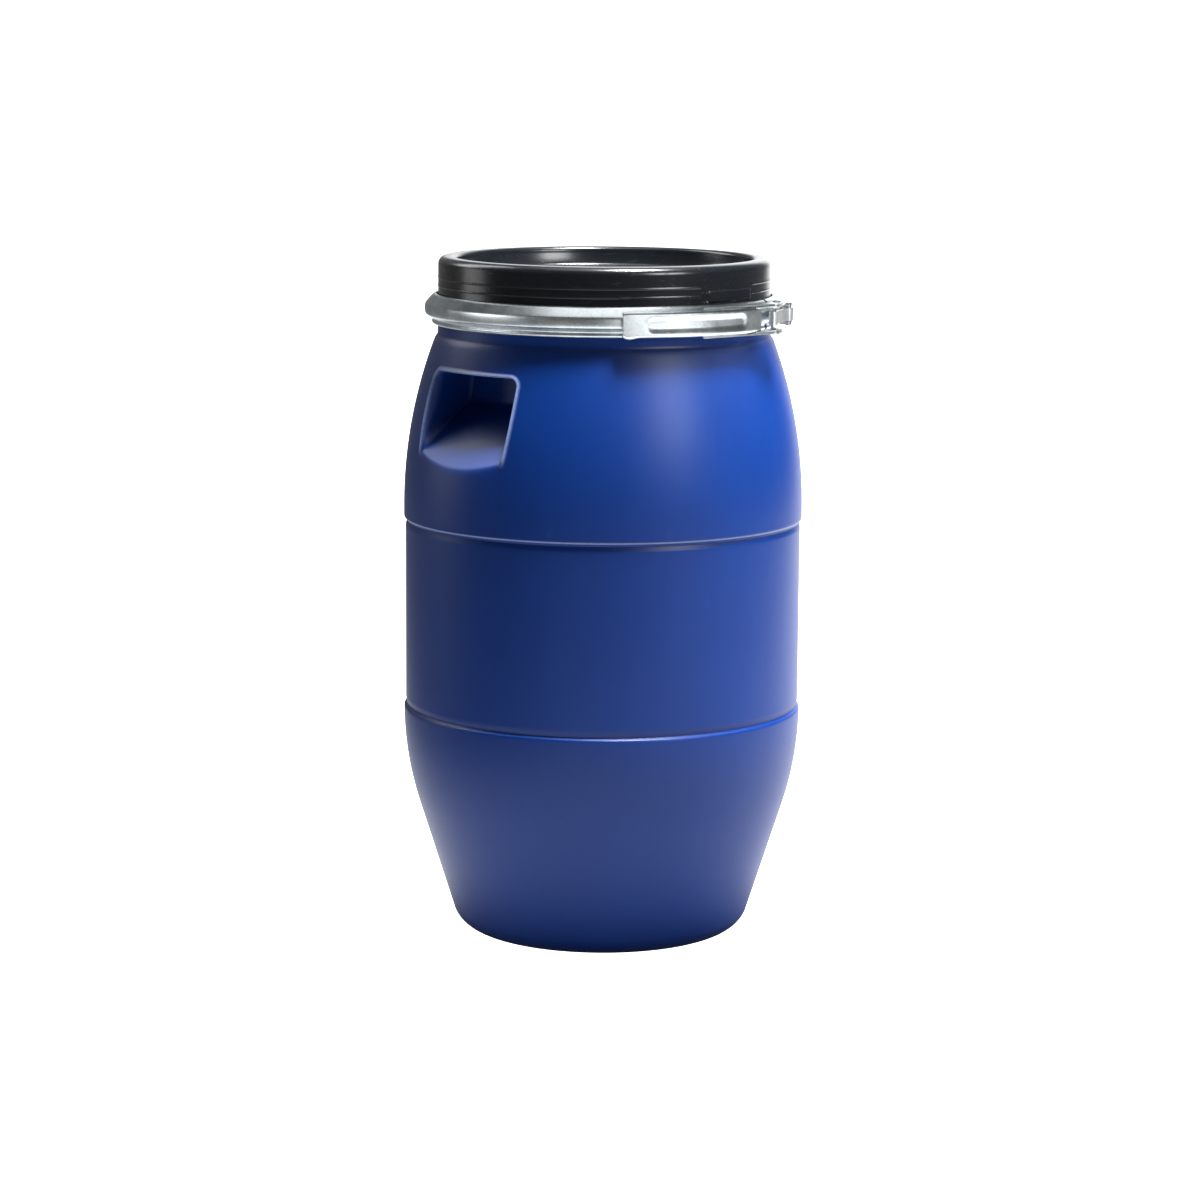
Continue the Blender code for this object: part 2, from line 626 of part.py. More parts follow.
def make_catch_bracket():
    """Two cheeks with open mouths on the ring's right end, which the pin pulls on."""
    under = PIVOT_RADIUS - BAND_FACE - FIT
    mouth = 2 * (RIVET_RADIUS + CATCH_PLAY)
    width = mouth + 2 * CATCH_ARM
    rise = under + CATCH_CREST
    bracket = box("catch_bracket", (CATCH_FOOT, PLATE, CATCH_HEIGHT), (0.0, under - PLATE / 2, 0.0))
    for side in (-1.0, 1.0):
        height = side * (CATCH_HEIGHT - CATCH_CHEEK) / 2
        cheek = box(f"catch_cheek_{side:+.0f}", (width, rise, CATCH_CHEEK), (0.0, under - rise / 2, height))
        place_at_catch(cheek)
        boolean(bracket, cheek, "UNION")
    floor = RIVET_RADIUS + 2 * CATCH_FLOOR
    notch = box("catch_mouth", (mouth, rise, 2 * CATCH_HEIGHT), (0.0, floor - rise / 2, 0.0))
    place_at_catch(notch)
    boolean(bracket, notch, "DIFFERENCE")
    return place_at_catch(bracket)


def place_at_catch(item):
    item.location = (CATCH_PIN.x, CATCH_PIN.y, CLAMP_MID)
    item.rotation_euler.z = math.radians(CATCH_BEARING)
    return item


# ------------------------------------------------------------------------------------------- assembly
def assemble():
    blue = material("blue_polyethylene", (0.02, 0.07, 0.28), 0.42, 0.0)
    black = material("black_polyethylene", (0.012, 0.014, 0.017), 0.28, 0.0)
    rubber = material("seal_rubber", (0.05, 0.05, 0.05), 0.7, 0.0)
    zinc = material("zinc_plated_steel", (0.62, 0.66, 0.68), 0.3, 1.0)
    rivet_steel = material("rivet_steel", (0.5, 0.52, 0.54), 0.35, 1.0)
    left, right = make_bands()
    groups = {
        "drum_body": ([make_drum_body()], blue, None),
        "lid": ([make_lid()], black, None),
        "seal": ([make_seal()], rubber, None),
        "ring_left": ([left, make_fulcrum_bracket()], zinc, None),
        "ring_right": ([right, make_catch_bracket()], zinc, FLEX_POINT),
        "lever": ([make_lever()], zinc, PIVOT),
        "link": ([make_draw_link()], zinc, LINK_RIVET),
        "rivets": ([make_fulcrum_rivet("fulcrum_rivet_upper", 1.0),
                    make_fulcrum_rivet("fulcrum_rivet_lower", -1.0)], rivet_steel, PIVOT),
        "link_rivet": ([make_link_rivet()], rivet_steel, LINK_RIVET),
        "catch_pin": ([make_catch_pin()], rivet_steel, LINK_RIVET),
    }
    for group, (pieces, finish, axis) in groups.items():
        pivot = pivot_empty(f"{group}_axis", axis, CLAMP_MID) if axis is not None else None
        for piece in pieces:
            piece.data.materials.append(finish)
            if pivot:
                hang_on(piece, pivot)


assemble()
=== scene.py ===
# %% [markdown]
# # The looks of an open head plastic keg
# The CAD model gives every part its size, place and joint. This script dresses it: it builds finer skins
# over the plain CAD parts, gives each one a finish made of shader nodes, and sets up light and a camera.
# All lengths are in metres. The keg stands on z = 0 with its axis on Z. A bearing is an angle about that
# axis, counted from the front (-Y) towards the right (+X), because everything on a round keg is easiest
# to place so.

# %% Load the frame
import json
import math

import bmesh
import bpy
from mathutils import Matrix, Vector

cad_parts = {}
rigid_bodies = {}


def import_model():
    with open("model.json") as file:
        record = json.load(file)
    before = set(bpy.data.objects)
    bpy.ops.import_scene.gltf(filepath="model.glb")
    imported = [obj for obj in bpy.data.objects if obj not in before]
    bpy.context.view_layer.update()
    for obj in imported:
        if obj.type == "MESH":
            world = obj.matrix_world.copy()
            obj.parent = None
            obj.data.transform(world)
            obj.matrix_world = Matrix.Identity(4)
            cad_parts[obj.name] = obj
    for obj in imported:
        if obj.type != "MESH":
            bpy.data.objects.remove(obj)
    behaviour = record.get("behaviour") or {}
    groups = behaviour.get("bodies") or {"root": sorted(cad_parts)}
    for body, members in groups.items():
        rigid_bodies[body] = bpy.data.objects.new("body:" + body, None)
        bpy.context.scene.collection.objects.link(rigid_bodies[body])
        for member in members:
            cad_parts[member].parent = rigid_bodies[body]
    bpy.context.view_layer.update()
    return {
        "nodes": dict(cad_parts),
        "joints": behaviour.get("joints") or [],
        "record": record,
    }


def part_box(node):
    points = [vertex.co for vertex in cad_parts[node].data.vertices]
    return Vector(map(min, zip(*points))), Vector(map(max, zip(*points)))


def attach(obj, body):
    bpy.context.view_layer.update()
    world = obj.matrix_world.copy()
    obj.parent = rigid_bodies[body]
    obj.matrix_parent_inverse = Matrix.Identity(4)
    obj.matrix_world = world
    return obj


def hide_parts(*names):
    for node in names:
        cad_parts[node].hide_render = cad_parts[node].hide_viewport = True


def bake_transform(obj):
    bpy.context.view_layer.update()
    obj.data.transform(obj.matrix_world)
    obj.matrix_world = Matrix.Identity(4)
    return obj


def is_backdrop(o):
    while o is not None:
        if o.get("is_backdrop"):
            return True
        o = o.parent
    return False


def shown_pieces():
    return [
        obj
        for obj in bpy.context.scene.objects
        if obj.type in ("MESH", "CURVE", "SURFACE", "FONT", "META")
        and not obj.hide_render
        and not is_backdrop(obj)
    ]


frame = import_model()
scene = bpy.context.scene

# %% [markdown]
# ## Sizes taken from the frame
# A few boxes of the CAD model are enough to place every finer piece: the body's radius and height, the
# lid's top, and the ring's face. Small details, such as the depth of a groove, are named next to the
# piece they are on.

# %% Measure the frame
body_low, body_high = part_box("drum_body")
lid_low, lid_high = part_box("lid")
lever_low, lever_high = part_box("lever")
BODY_RADIUS = body_high.x
RIM = body_high.z
CROWN_TOP = lid_high.z
CLAMP_MID = (lever_low.z + lever_high.z) / 2
LEVER_HEIGHT = lever_high.z - lever_low.z
NECK_RADIUS = BODY_RADIUS - 0.0314
MOUTH_RADIUS = NECK_RADIUS - 0.0053
WALL = 0.0032
BAND_FACE = NECK_RADIUS + 0.012
PIVOT_RADIUS = BAND_FACE + 0.0064
PIVOT_BEARING = 64.8
print("body radius", round(BODY_RADIUS, 4), "rim", round(RIM, 4), "crown", round(CROWN_TOP, 4))
print("lever", round(LEVER_HEIGHT, 4), "high about", round(CLAMP_MID, 4))

# %% [markdown]
# ## Helpers for round work
# Most pieces are turned shapes with something local on them, such as a grip or a rib that stops. A turned
# shape is a grid: its rows are the points of the outline and its columns are bearings. Because each point
# is worked out on its own, a local detail is only a small change to that point, with no cutting and no
# seam.

# %% Bearings and soft steps
def smoothstep(low, high, value):
    """0 below low, 1 above high, and a soft turn between."""
    t = min(1.0, max(0.0, (value - low) / (high - low)))
    return t * t * (3.0 - 2.0 * t)


def bump(value, centre, half_width):
    """A soft ridge: 1 at its centre and 0 outside its width."""
    return 1.0 - smoothstep(0.0, half_width, abs(value - centre))


def at_bearing(bearing, radius, height):
    angle = math.radians(bearing)
    return Vector((radius * math.sin(angle), -radius * math.cos(angle), height))


print("a bearing of 90 points to", tuple(round(v, 2) for v in at_bearing(90.0, 1.0, 0.0)))

# %% [markdown]
# ## Outlines
# The outline of a turned piece is a list of points (r, z): distance from the axis, and height. Straight
# runs need extra points wherever a detail will bend them, and corners need rounding, because moulded
# plastic and rolled steel have no sharp ones. Cutting every corner a few times rounds it with no sums
# about tangents.

# %% Outline helpers
def arc(centre, radius, start, end, steps):
    """Points (r, z) on an arc of the outline, angles in degrees from outwards."""
    angles = [math.radians(start + (end - start) * i / steps) for i in range(steps + 1)]
    return [(centre[0] + radius * math.cos(a), centre[1] + radius * math.sin(a)) for a in angles]


def dense(points, step):
    """The same outline with no two points further apart than the step."""
    full = [points[0]]
    for (r0, z0), (r1, z1) in zip(points, points[1:]):
        count = max(1, math.ceil(math.hypot(r1 - r0, z1 - z0) / step))
        full += [(r0 + (r1 - r0) * i / count, z0 + (z1 - z0) * i / count) for i in range(1, count + 1)]
    return full


def softened(points, rounds=2):
    """An outline with its corners cut again and again, which rounds them."""
    for _ in range(rounds):
        cut = [points[0]]
        for (r0, z0), (r1, z1) in zip(points, points[1:]):
            cut += [(r0 + (r1 - r0) * share, z0 + (z1 - z0) * share) for share in (0.25, 0.75)]
        points = cut + [points[-1]]
    return points


def steps_between(start, end, step):
    count = max(1, round(abs(end - start) / step))
    return [start + (end - start) * i / count for i in range(count)]


print("a corner cut twice has", len(softened([(0.0, 0.0), (1.0, 0.0), (1.0, 1.0)])), "points")

# %% [markdown]
# ## From rows to a mesh
# Rows of points become a mesh when each point is joined to its neighbours with quads. The mesh is then
# welded where rows meet, its open ends are closed and its faces are turned outwards, which leaves one
# closed skin. Doing this with bmesh once, in one helper, gives every turned piece the same clean result.

# %% Mesh helpers
def skin(name, rows, closed_columns=True, closed_rows=False):
    """A mesh of quads over rows of points. Rows or columns may close on themselves."""
    wide, high = len(rows[0]), len(rows)
    points = [point for row in rows for point in row]
    faces = []
    for i in range(high if closed_rows else high - 1):
        below = (i + 1) % high
        for j in range(wide if closed_columns else wide - 1):
            beside = (j + 1) % wide
            faces.append((i * wide + j, i * wide + beside, below * wide + beside, below * wide + j))
    data = bpy.data.meshes.new(name)
    data.from_pydata(points, [], faces)
    return data


def tidy(data, sharp=None, cap_ends=False):
    """Close open ends, weld points that meet, turn all faces outwards and shade smooth."""
    work = bmesh.new()
    work.from_mesh(data)
    bmesh.ops.remove_doubles(work, verts=work.verts, dist=0.000002)
    if cap_ends:
        bmesh.ops.holes_fill(work, edges=[e for e in work.edges if e.is_boundary])
    bmesh.ops.recalc_face_normals(work, faces=work.faces)
    work.to_mesh(data)
    work.free()
    data.shade_smooth()
    if sharp:
        data.set_sharp_from_angle(angle=math.radians(sharp))
    return data


print("mesh helpers: skin joins the rows, tidy closes and smooths them")

# %% [markdown]
# ## Pieces on moving bodies
# Each piece rides on one body of the model, so that it moves with that body's joint. Dressing a piece
# replaces whatever material it has by one finish.

# %% Piece helpers
def add_piece(name, data, body=None):
    item = bpy.data.objects.new(name, data)
    scene.collection.objects.link(item)
    if body:
        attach(item, body)
    return item


def dressed(item, finish):
    item.data.materials.clear()
    item.data.materials.append(finish)
    return item


# %% [markdown]
# ## Shader sums as Python sums
# A finish is mostly arithmetic on masks: where it is worn, where it is rough. The class below wraps one
# socket, so that `1 - mask * 0.5` adds the Math nodes it stands for.

# %% Sums on sockets
class Value:
    """A socket that can be added, taken away, multiplied and raised to a power."""

    def __init__(self, finish, socket):
        self.finish = finish
        self.socket = socket

    def math(self, operation, *numbers):
        return self.finish.node("ShaderNodeMath", {"operation": operation}, dict(enumerate(numbers)))

    def __add__(self, other):
        return self.math("ADD", self, other)

    def __sub__(self, other):
        return self.math("SUBTRACT", self, other)

    def __rsub__(self, other):
        return self.math("SUBTRACT", other, self)

    def __mul__(self, other):
        return self.math("MULTIPLY", self, other)

    def __pow__(self, other):
        return self.math("POWER", self, other)

    def __rpow__(self, other):
        return self.math("POWER", other, self)

    __radd__ = __add__
    __rmul__ = __mul__

    def between(self, low, high):
        """0 where the value is under low, 1 where it is over high, soft between."""
        return self.finish.node("ShaderNodeMapRange", {"interpolation_type": "SMOOTHSTEP"},
                                {"Value": self, "From Min": low, "From Max": high})


print("sums that a socket can do:", [name for name in vars(Value) if name.startswith("__r")])

# %% [markdown]
# ## One method for every other node
# Everything that is not plain arithmetic goes through one method, `node`. It makes a node of any type,
# sets it up and then fills or links its sockets. Colours are mixed by `blend`, since a Math node would
# turn them grey. Noise is laid out in the piece's own space, so a pattern stays on its piece when that
# moves.

# %% Finishes
class Finish:
    """A material, or the world, that is put together from nodes."""

    def __init__(self, name, owner=None):
        self.material = owner or bpy.data.materials.new(name)
        self.material.use_nodes = True
        self.tree = self.material.node_tree
        self.tree.nodes.clear()
        self.place = self.node("ShaderNodeTexCoord", {}, {}, "Object")

    def node(self, kind, settings, sockets, output=0):
        made = self.tree.nodes.new(kind)
        for key, setting in settings.items():
            if key == "stops":
                self.set_stops(made.color_ramp, setting)
            else:
                setattr(made, key, setting)
        for key, value in sockets.items():
            if isinstance(value, Value):
                self.tree.links.new(value.socket, made.inputs[key])
            else:
                made.inputs[key].default_value = value
        return None if output is None else Value(self, made.outputs[output])

    @staticmethod
    def set_stops(ramp, stops):
        while len(ramp.elements) < len(stops):
            ramp.elements.new(0.5)
        for element, (position, colour) in zip(ramp.elements, stops):
            element.position = position
            element.color = colour

    def noise(self, scale, detail=3.0, stretch=(1.0, 1.0, 1.0), roughness=0.55):
        placed = self.node("ShaderNodeVectorMath", {"operation": "MULTIPLY"}, {0: self.place, 1: stretch})
        return self.node("ShaderNodeTexNoise", {}, {"Vector": placed, "Scale": scale, "Detail": detail,
                                                    "Roughness": roughness})

    def blend(self, factor, first, second):
        """One colour turning into another by a factor."""
        return self.node("ShaderNodeMix", {"data_type": "RGBA"}, {0: factor, 6: first, 7: second}, 2)

    def height(self):
        return self.node("ShaderNodeSeparateXYZ", {}, {0: self.place}, 2)

    def worn_edges(self, low, high):
        """A mask of outer edges, where handling rubs the surface."""
        pointed = self.node("ShaderNodeNewGeometry", {}, {}, "Pointiness")
        return pointed.between(low, high)

    def relief(self, amount, distance, height, under=None):
        sockets = {"Strength": amount, "Distance": distance, "Height": height}
        if under:
            sockets["Normal"] = under
        return self.node("ShaderNodeBump", {}, sockets)

    def close(self, **sockets):
        """The surface shader, with the named sockets filled, and the material's output."""
        named = {key.replace("_", " "): value for key, value in sockets.items()}
        shader = self.node("ShaderNodeBsdfPrincipled", {}, named)
        self.node("ShaderNodeOutputMaterial", {}, {"Surface": shader}, None)
        return self.material


print("a finish can do:", [name for name in vars(Finish) if not name.startswith("_")])

# %% [markdown]
# ## Blue blow moulded plastic
# The keg is blown from high density polyethylene. It has a satin skin with a very fine grain from the mould,
# a deep blue that is never quite even, and faint upright flow streaks from the parison. Noises of several
# scales do it: broad clouds and stretched streaks for the colour, speckle and a very fine grain for the
# surface, and a few sparse scuffs. The rolled edges of the grips and the upper rib are painted pale as a
# highlight, where the rounded plastic catches the light. The mesh itself carries a mark for this painted
# highlight, which the finish reads; the mark is made with the keg's mesh further down.

# %% Blue plastic
def make_blue_plastic():
    finish = Finish("blue_polyethylene")
    cloud = finish.noise(9.0, 4.0)
    streak = finish.noise(60.0, 3.0, (1.0, 1.0, 0.06))
    grain = finish.noise(1500.0, 2.0)
    speckle = finish.noise(420.0, 2.0)
    scuff = finish.noise(46.0, 6.0, (1.0, 1.0, 0.35), 0.7).between(0.64, 0.74) * 0.35
    # painted highlight: a mark on the mesh lightens the rolled grip edges and the upper rib
    rubbed = finish.node("ShaderNodeAttribute", {"attribute_name": "rubbed"}, {}, "Fac")
    tone = cloud * 0.6 + streak * 0.25 + speckle * 0.15
    body = finish.blend(tone, (0.0001, 0.020, 0.140, 1.0), (0.0004, 0.031, 0.204, 1.0))
    pale = finish.blend(rubbed * (0.50 + speckle * 0.6), body, (0.27, 0.34, 0.60, 1.0))
    colour = finish.blend(scuff * 0.18, pale, (0.05, 0.11, 0.40, 1.0))
    rough = 0.33 + cloud * 0.07 + speckle * 0.05 + scuff * 0.20
    waves = finish.relief(0.10, 0.004, cloud)
    fine = finish.relief(0.20, 0.0002, grain + speckle * 0.8, waves)
    return finish.close(Base_Color=colour, Roughness=rough, Normal=fine, IOR=1.5, Specular_IOR_Level=0.27)


blue_plastic = make_blue_plastic()
print(blue_plastic.name, len(blue_plastic.node_tree.nodes), "nodes")

# %% [markdown]
# ## Black lid plastic
# The lid is injection moulded, so it is much glossier than the body. It shows slow waves in its
# reflections, hair scratches from stacking and small pale rubs on the crown, where the next keg stands.

# %% Black plastic
def make_black_plastic():
    finish = Finish("black_polyethylene")
    cloud = finish.noise(14.0, 3.0)
    scratch = finish.noise(260.0, 4.0, (0.12, 1.0, 1.0), 0.6).between(0.60, 0.70)
    patch = finish.noise(34.0, 5.0, (1.0, 1.0, 1.0), 0.7).between(0.60, 0.66)
    edge = finish.worn_edges(0.53, 0.62)
    top = finish.height().between(CROWN_TOP - 0.006, CROWN_TOP - 0.001)
    rubbed = edge * patch * top
    dark = finish.blend(cloud, (0.0030, 0.0040, 0.0060, 1.0), (0.0065, 0.0080, 0.0105, 1.0))
    colour = finish.blend(rubbed * 0.75, dark, (0.42, 0.43, 0.42, 1.0))
    rough = 0.20 + cloud * 0.06 + scratch * 0.10 + rubbed * 0.35
    waves = finish.relief(0.12, 0.003, cloud)
    fine = finish.relief(0.10, 0.0002, scratch + finish.noise(700.0, 2.0) * 0.5, waves)
    return finish.close(Base_Color=colour, Roughness=rough, Normal=fine, IOR=1.5)


black_plastic = make_black_plastic()
print(black_plastic.name, len(black_plastic.node_tree.nodes), "nodes")

# %% [markdown]
# ## Zinc plated steel
# The ring, lever and brackets are pressed from sheet and then plated. The plating is bright with a faint
# blue-green cast, cloudy in patches, a little brushed along the ring and rubbed brighter on its edges. Its
# colour is darker and its surface rougher in the hollows.

# %% Zinc
def make_zinc(name, rough_base, bright, dull):
    finish = Finish(name)
    cloud = finish.noise(38.0, 5.0, (1.0, 1.0, 1.0), 0.6)
    spangle = finish.node("ShaderNodeTexVoronoi", {}, {"Vector": finish.place, "Scale": 520.0}, "Color")
    spangle = finish.node("ShaderNodeSeparateColor", {}, {0: spangle}, 0)
    brushed = finish.noise(900.0, 2.0, (0.25, 0.25, 2.4))
    edge = finish.worn_edges(0.52, 0.60)
    hollow = 1.0 - finish.worn_edges(0.42, 0.49)
    tone = cloud * 0.85 + spangle * 0.15
    colour = finish.blend(tone.between(0.30, 0.70), dull, bright)
    colour = finish.blend(hollow * 0.35, colour, (0.30, 0.32, 0.33, 1.0))
    colour = finish.blend(edge * 0.6, colour, (0.94, 0.96, 0.97, 1.0))
    rough = rough_base + tone.between(0.25, 0.75) * 0.08 + brushed * 0.08 + hollow * 0.10
    ripple = finish.relief(0.12, 0.0010, cloud)
    fine = finish.relief(0.10, 0.0001, brushed + spangle * 0.12, ripple)
    return finish.close(Base_Color=colour, Metallic=1.0, Roughness=rough, Normal=fine)


zinc = make_zinc("zinc_plated_sheet", 0.27, (0.80, 0.86, 0.88, 1.0), (0.58, 0.64, 0.67, 1.0))
# a darker copy of the plating: painted shade for the catch and the link, which sit in shadow
shaded_zinc = make_zinc("shaded_zinc", 0.30, (0.60, 0.64, 0.66, 1.0), (0.34, 0.37, 0.39, 1.0))
rivet_steel = make_zinc("rivet_steel", 0.26, (0.52, 0.54, 0.56, 1.0), (0.26, 0.28, 0.30, 1.0))
print(zinc.name, shaded_zinc.name, rivet_steel.name, len(zinc.node_tree.nodes), "nodes each")

# %% [markdown]
# ## Seal rubber
# A closed cell rubber cord lies in the lid's channel. It is dull, slightly grey, and has fine pores.

# %% Rubber
def make_rubber():
    finish = Finish("seal_rubber")
    cloud = finish.noise(60.0, 3.0)
    pores = finish.node("ShaderNodeTexVoronoi", {}, {"Vector": finish.place, "Scale": 1300.0}, "Distance")
    colour = finish.blend(cloud, (0.020, 0.020, 0.021, 1.0), (0.045, 0.045, 0.046, 1.0))
    rough = 0.62 + cloud * 0.15
    fine = finish.relief(0.5, 0.0002, pores)
    return finish.close(Base_Color=colour, Roughness=rough, Normal=fine)


rubber = make_rubber()
print(rubber.name, len(rubber.node_tree.nodes), "nodes")

# %% [markdown]
# ## The keg's outline
# A blown keg is a turned shape. From the rim it goes down a short neck, over a long shoulder curve to its
# widest part, past a pinched rib, down a straight belt, past a second rib and then in a long curve to a
# small foot ring. The outline is written once for the outside, and again with the wall's thickness for
# the inside.

# %% Keg outline
NECK_FOOT = RIM - 0.0265
UPPER_RIB = RIM - 0.196
LOWER_RIB = 0.212
RIB_DEPTH = 0.0032
BELT_RADIUS = BODY_RADIUS - 0.0016
WIDEST = UPPER_RIB + 0.011
BASE_INSET = 0.073
BASE_RADIUS = BODY_RADIUS - BASE_INSET
BASE_EDGE = 0.028
BASE_SLOPE = math.radians(17.6)
FOOT_WIDTH = 0.022
BASE_LIFT = 0.008
BEAD_RADIUS = NECK_RADIUS + 0.0074

shoulder_run = BODY_RADIUS - NECK_RADIUS - 0.0018
shoulder_rise = NECK_FOOT - WIDEST
SHOULDER_BEND = (shoulder_rise ** 2 + shoulder_run ** 2) / (2.0 * shoulder_run)
base_reach = (LOWER_RIB - BASE_EDGE) * math.sin(BASE_SLOPE) + BASE_EDGE - BASE_INSET * math.cos(BASE_SLOPE)
BASE_BEND = base_reach / (1.0 - math.cos(BASE_SLOPE))


def shoulder_radius(height, inset=0.0):
    """Radius of the shoulder curve at a height."""
    bend = SHOULDER_BEND - inset
    return BODY_RADIUS - SHOULDER_BEND + math.sqrt(bend * bend - (height - WIDEST) ** 2)


def base_curve(inset, steps):
    slope = math.degrees(BASE_SLOPE)
    side = arc((BODY_RADIUS - BASE_BEND, LOWER_RIB), BASE_BEND - inset, 0.0, -slope, steps)
    edge = arc((BASE_RADIUS, BASE_EDGE), BASE_EDGE - inset, -slope, -90.0, 12)
    return side + edge[1:]


print("shoulder bend", round(SHOULDER_BEND, 3), "base bend", round(BASE_BEND, 3))

# %% [markdown]
# ## The hand grips
# Each grip is a pocket in the shoulder: a flat roof and an upright back to hold on to, two flat cheeks,
# and a floor that slopes up from the shoulder like a tongue. A thin rolled edge runs round its sides and
# top. The pocket is a shift of the wall's own points along the grip's direction, so that the plastic
# stays one skin. Its columns are lines of constant distance from the grip's middle, which keeps both
# cheeks straight.

# %% Grip shape
GRIP_BEARINGS = (-47.0, 133.0)
GRIP_TOP = RIM - 0.053
GRIP_BOTTOM = RIM - 0.137
GRIP_HALF = 0.0555
GRIP_BELLY = 0.0026
GRIP_BACK = BODY_RADIUS - 0.071
GRIP_LEDGE = GRIP_TOP - 0.031
GRIP_CORNER = 0.008
GRIP_CHEEK = 0.0045
GRIP_LEAN = 0.004
FLOOR_BOW = 0.0042
ROLL_WIDTH = 0.0024
ROLL_HEIGHT = 0.0016
GRIP_ZONE = 0.068


def soft_max(first, second, blend):
    return 0.5 * (first + second + math.sqrt((first - second) ** 2 + blend ** 2))


def soft_min(first, second, blend):
    return 0.5 * (first + second - math.sqrt((first - second) ** 2 + blend ** 2))


def depth_inside(across, height, grow):
    """How far a point is inside the pocket's rounded outline; negative outside it."""
    lift = (height - GRIP_BOTTOM) / (GRIP_TOP - GRIP_BOTTOM)
    across = across + GRIP_LEAN * (1.0 - lift)
    half = GRIP_HALF + GRIP_BELLY * 4.0 * max(0.0, lift * (1.0 - lift)) + grow
    top, bottom = GRIP_TOP + grow, GRIP_BOTTOM - 0.016 - grow
    dx = abs(across) - (half - GRIP_CORNER)
    dz = abs(height - (top + bottom) / 2) - ((top - bottom) / 2 - GRIP_CORNER)
    return GRIP_CORNER - math.hypot(max(dx, 0.0), max(dz, 0.0)) - min(max(dx, dz), 0.0)


def pocket_reach(height, grow):
    """Distance from the keg's axis to the pocket's back or floor at a height."""
    lip = shoulder_radius(GRIP_BOTTOM)
    up = (GRIP_LEDGE - height) / (GRIP_LEDGE - GRIP_BOTTOM)
    floor = GRIP_BACK + (lip - GRIP_BACK) * up + FLOOR_BOW * 4.0 * max(0.0, up * (1.0 - up))
    return soft_max(GRIP_BACK, floor, 0.004) - grow * 1.2


def grip_shift(across, height, reach, grow=0.0):
    """The new distance of a wall point along the grip's direction."""
    inside = depth_inside(across, height, grow)
    target = soft_min(reach, pocket_reach(height, grow), 0.002)
    moved = reach + (target - reach) * smoothstep(0.0, GRIP_CHEEK, inside)
    if grow == 0.0:
        fade = smoothstep(GRIP_BOTTOM + 0.002, GRIP_BOTTOM + 0.012, height)
        moved += ROLL_HEIGHT * bump(inside, -0.0012, ROLL_WIDTH) * fade
    return moved


print("grip back at radius", round(GRIP_BACK, 4), "ledge at", round(GRIP_LEDGE, 4))

# %% [markdown]
# ## The columns of the keg's skin
# Columns are close together at the grips' cheeks and wide elsewhere. Near a grip they are counted by
# their distance from its middle, and slide a little sideways to run along the leaning cheek. Columns that
# cross an edge at a slant would show it as a saw.

# %% Keg columns
PLAIN_COLUMNS = 70
CHEEK_IN, CHEEK_OUT = 0.046, 0.062


def grip_columns():
    """Distances from a grip's middle, close together at its cheeks."""
    half = steps_between(0.0, CHEEK_IN, 0.0042) + steps_between(CHEEK_IN, CHEEK_OUT, 0.0009)
    half += steps_between(CHEEK_OUT, GRIP_ZONE, 0.002) + [GRIP_ZONE]
    return [-x for x in reversed(half[1:])] + half


def keg_columns():
    """Each column as (grip number, distance across it) or (None, share of the way to the next grip)."""
    columns = []
    for number in range(len(GRIP_BEARINGS)):
        columns += [(number, x) for x in grip_columns()]
        columns += [(None, (number, i / PLAIN_COLUMNS)) for i in range(1, PLAIN_COLUMNS)]
    return columns


def column_bearing(column, radius):
    grip, place = column
    if grip is not None:
        return GRIP_BEARINGS[grip] + math.degrees(math.asin(place / radius))
    number, share = place
    edge = math.degrees(math.asin(GRIP_ZONE / radius))
    start = GRIP_BEARINGS[number] + edge
    end = GRIP_BEARINGS[number] + 180.0 - edge
    return start + (end - start) * share


def follow_outline(across, height):
    """Slide a column sideways, so that it runs along the leaning, bellied cheek."""
    lift = min(1.0, max(0.0, (height - GRIP_BOTTOM) / (GRIP_TOP - GRIP_BOTTOM)))
    near = 1.0 - smoothstep(GRIP_HALF + 0.004, GRIP_ZONE - 0.001, abs(across))
    near *= 1.0 - smoothstep(GRIP_TOP + 0.002, GRIP_TOP + 0.022, height)
    near *= smoothstep(GRIP_BOTTOM - 0.036, GRIP_BOTTOM - 0.016, height)
    wider = GRIP_BELLY * 4.0 * lift * (1.0 - lift) / GRIP_HALF
    return across + near * (across * wider - GRIP_LEAN * (1.0 - lift))


print("columns round the keg:", len(keg_columns()))

# %% [markdown]
# ## The rows of the keg's skin
# Rows are close together only where something happens: at the rim, the grips and the ribs. The inside is
# one more run of rows, so the wall has its true thickness, and the pockets show as housings when the lid
# is off.

# %% Keg rows
UNDER_ROOF, OVER_ROOF = GRIP_TOP - 0.0075, GRIP_TOP + 0.0085
UNDER_LEDGE, OVER_LEDGE = GRIP_LEDGE - 0.006, GRIP_LEDGE + 0.008
UNDER_LIP, OVER_LIP = GRIP_BOTTOM - 0.011, GRIP_BOTTOM + 0.019
OVER_HOUSING = GRIP_TOP + 0.014
AXIS_GAP = 0.0004


def keg_row(radius, height, columns, grow, touched):
    guide = min(BODY_RADIUS, max(radius, MOUTH_RADIUS))
    row = []
    for column in columns:
        bearing = column_bearing(column, guide)
        grip = column[0]
        if grip is None or not touched:
            row.append(at_bearing(bearing, radius, height))
            continue
        across = follow_outline(radius * math.sin(math.radians(bearing - GRIP_BEARINGS[grip])), height)
        reach = math.sqrt(radius * radius - across * across)
        moved = grip_shift(across, height, reach, grow)
        turn = math.radians(GRIP_BEARINGS[grip])
        row.append(Vector((moved * math.sin(turn) + across * math.cos(turn),
                           -moved * math.cos(turn) + across * math.sin(turn), height)))
    return row


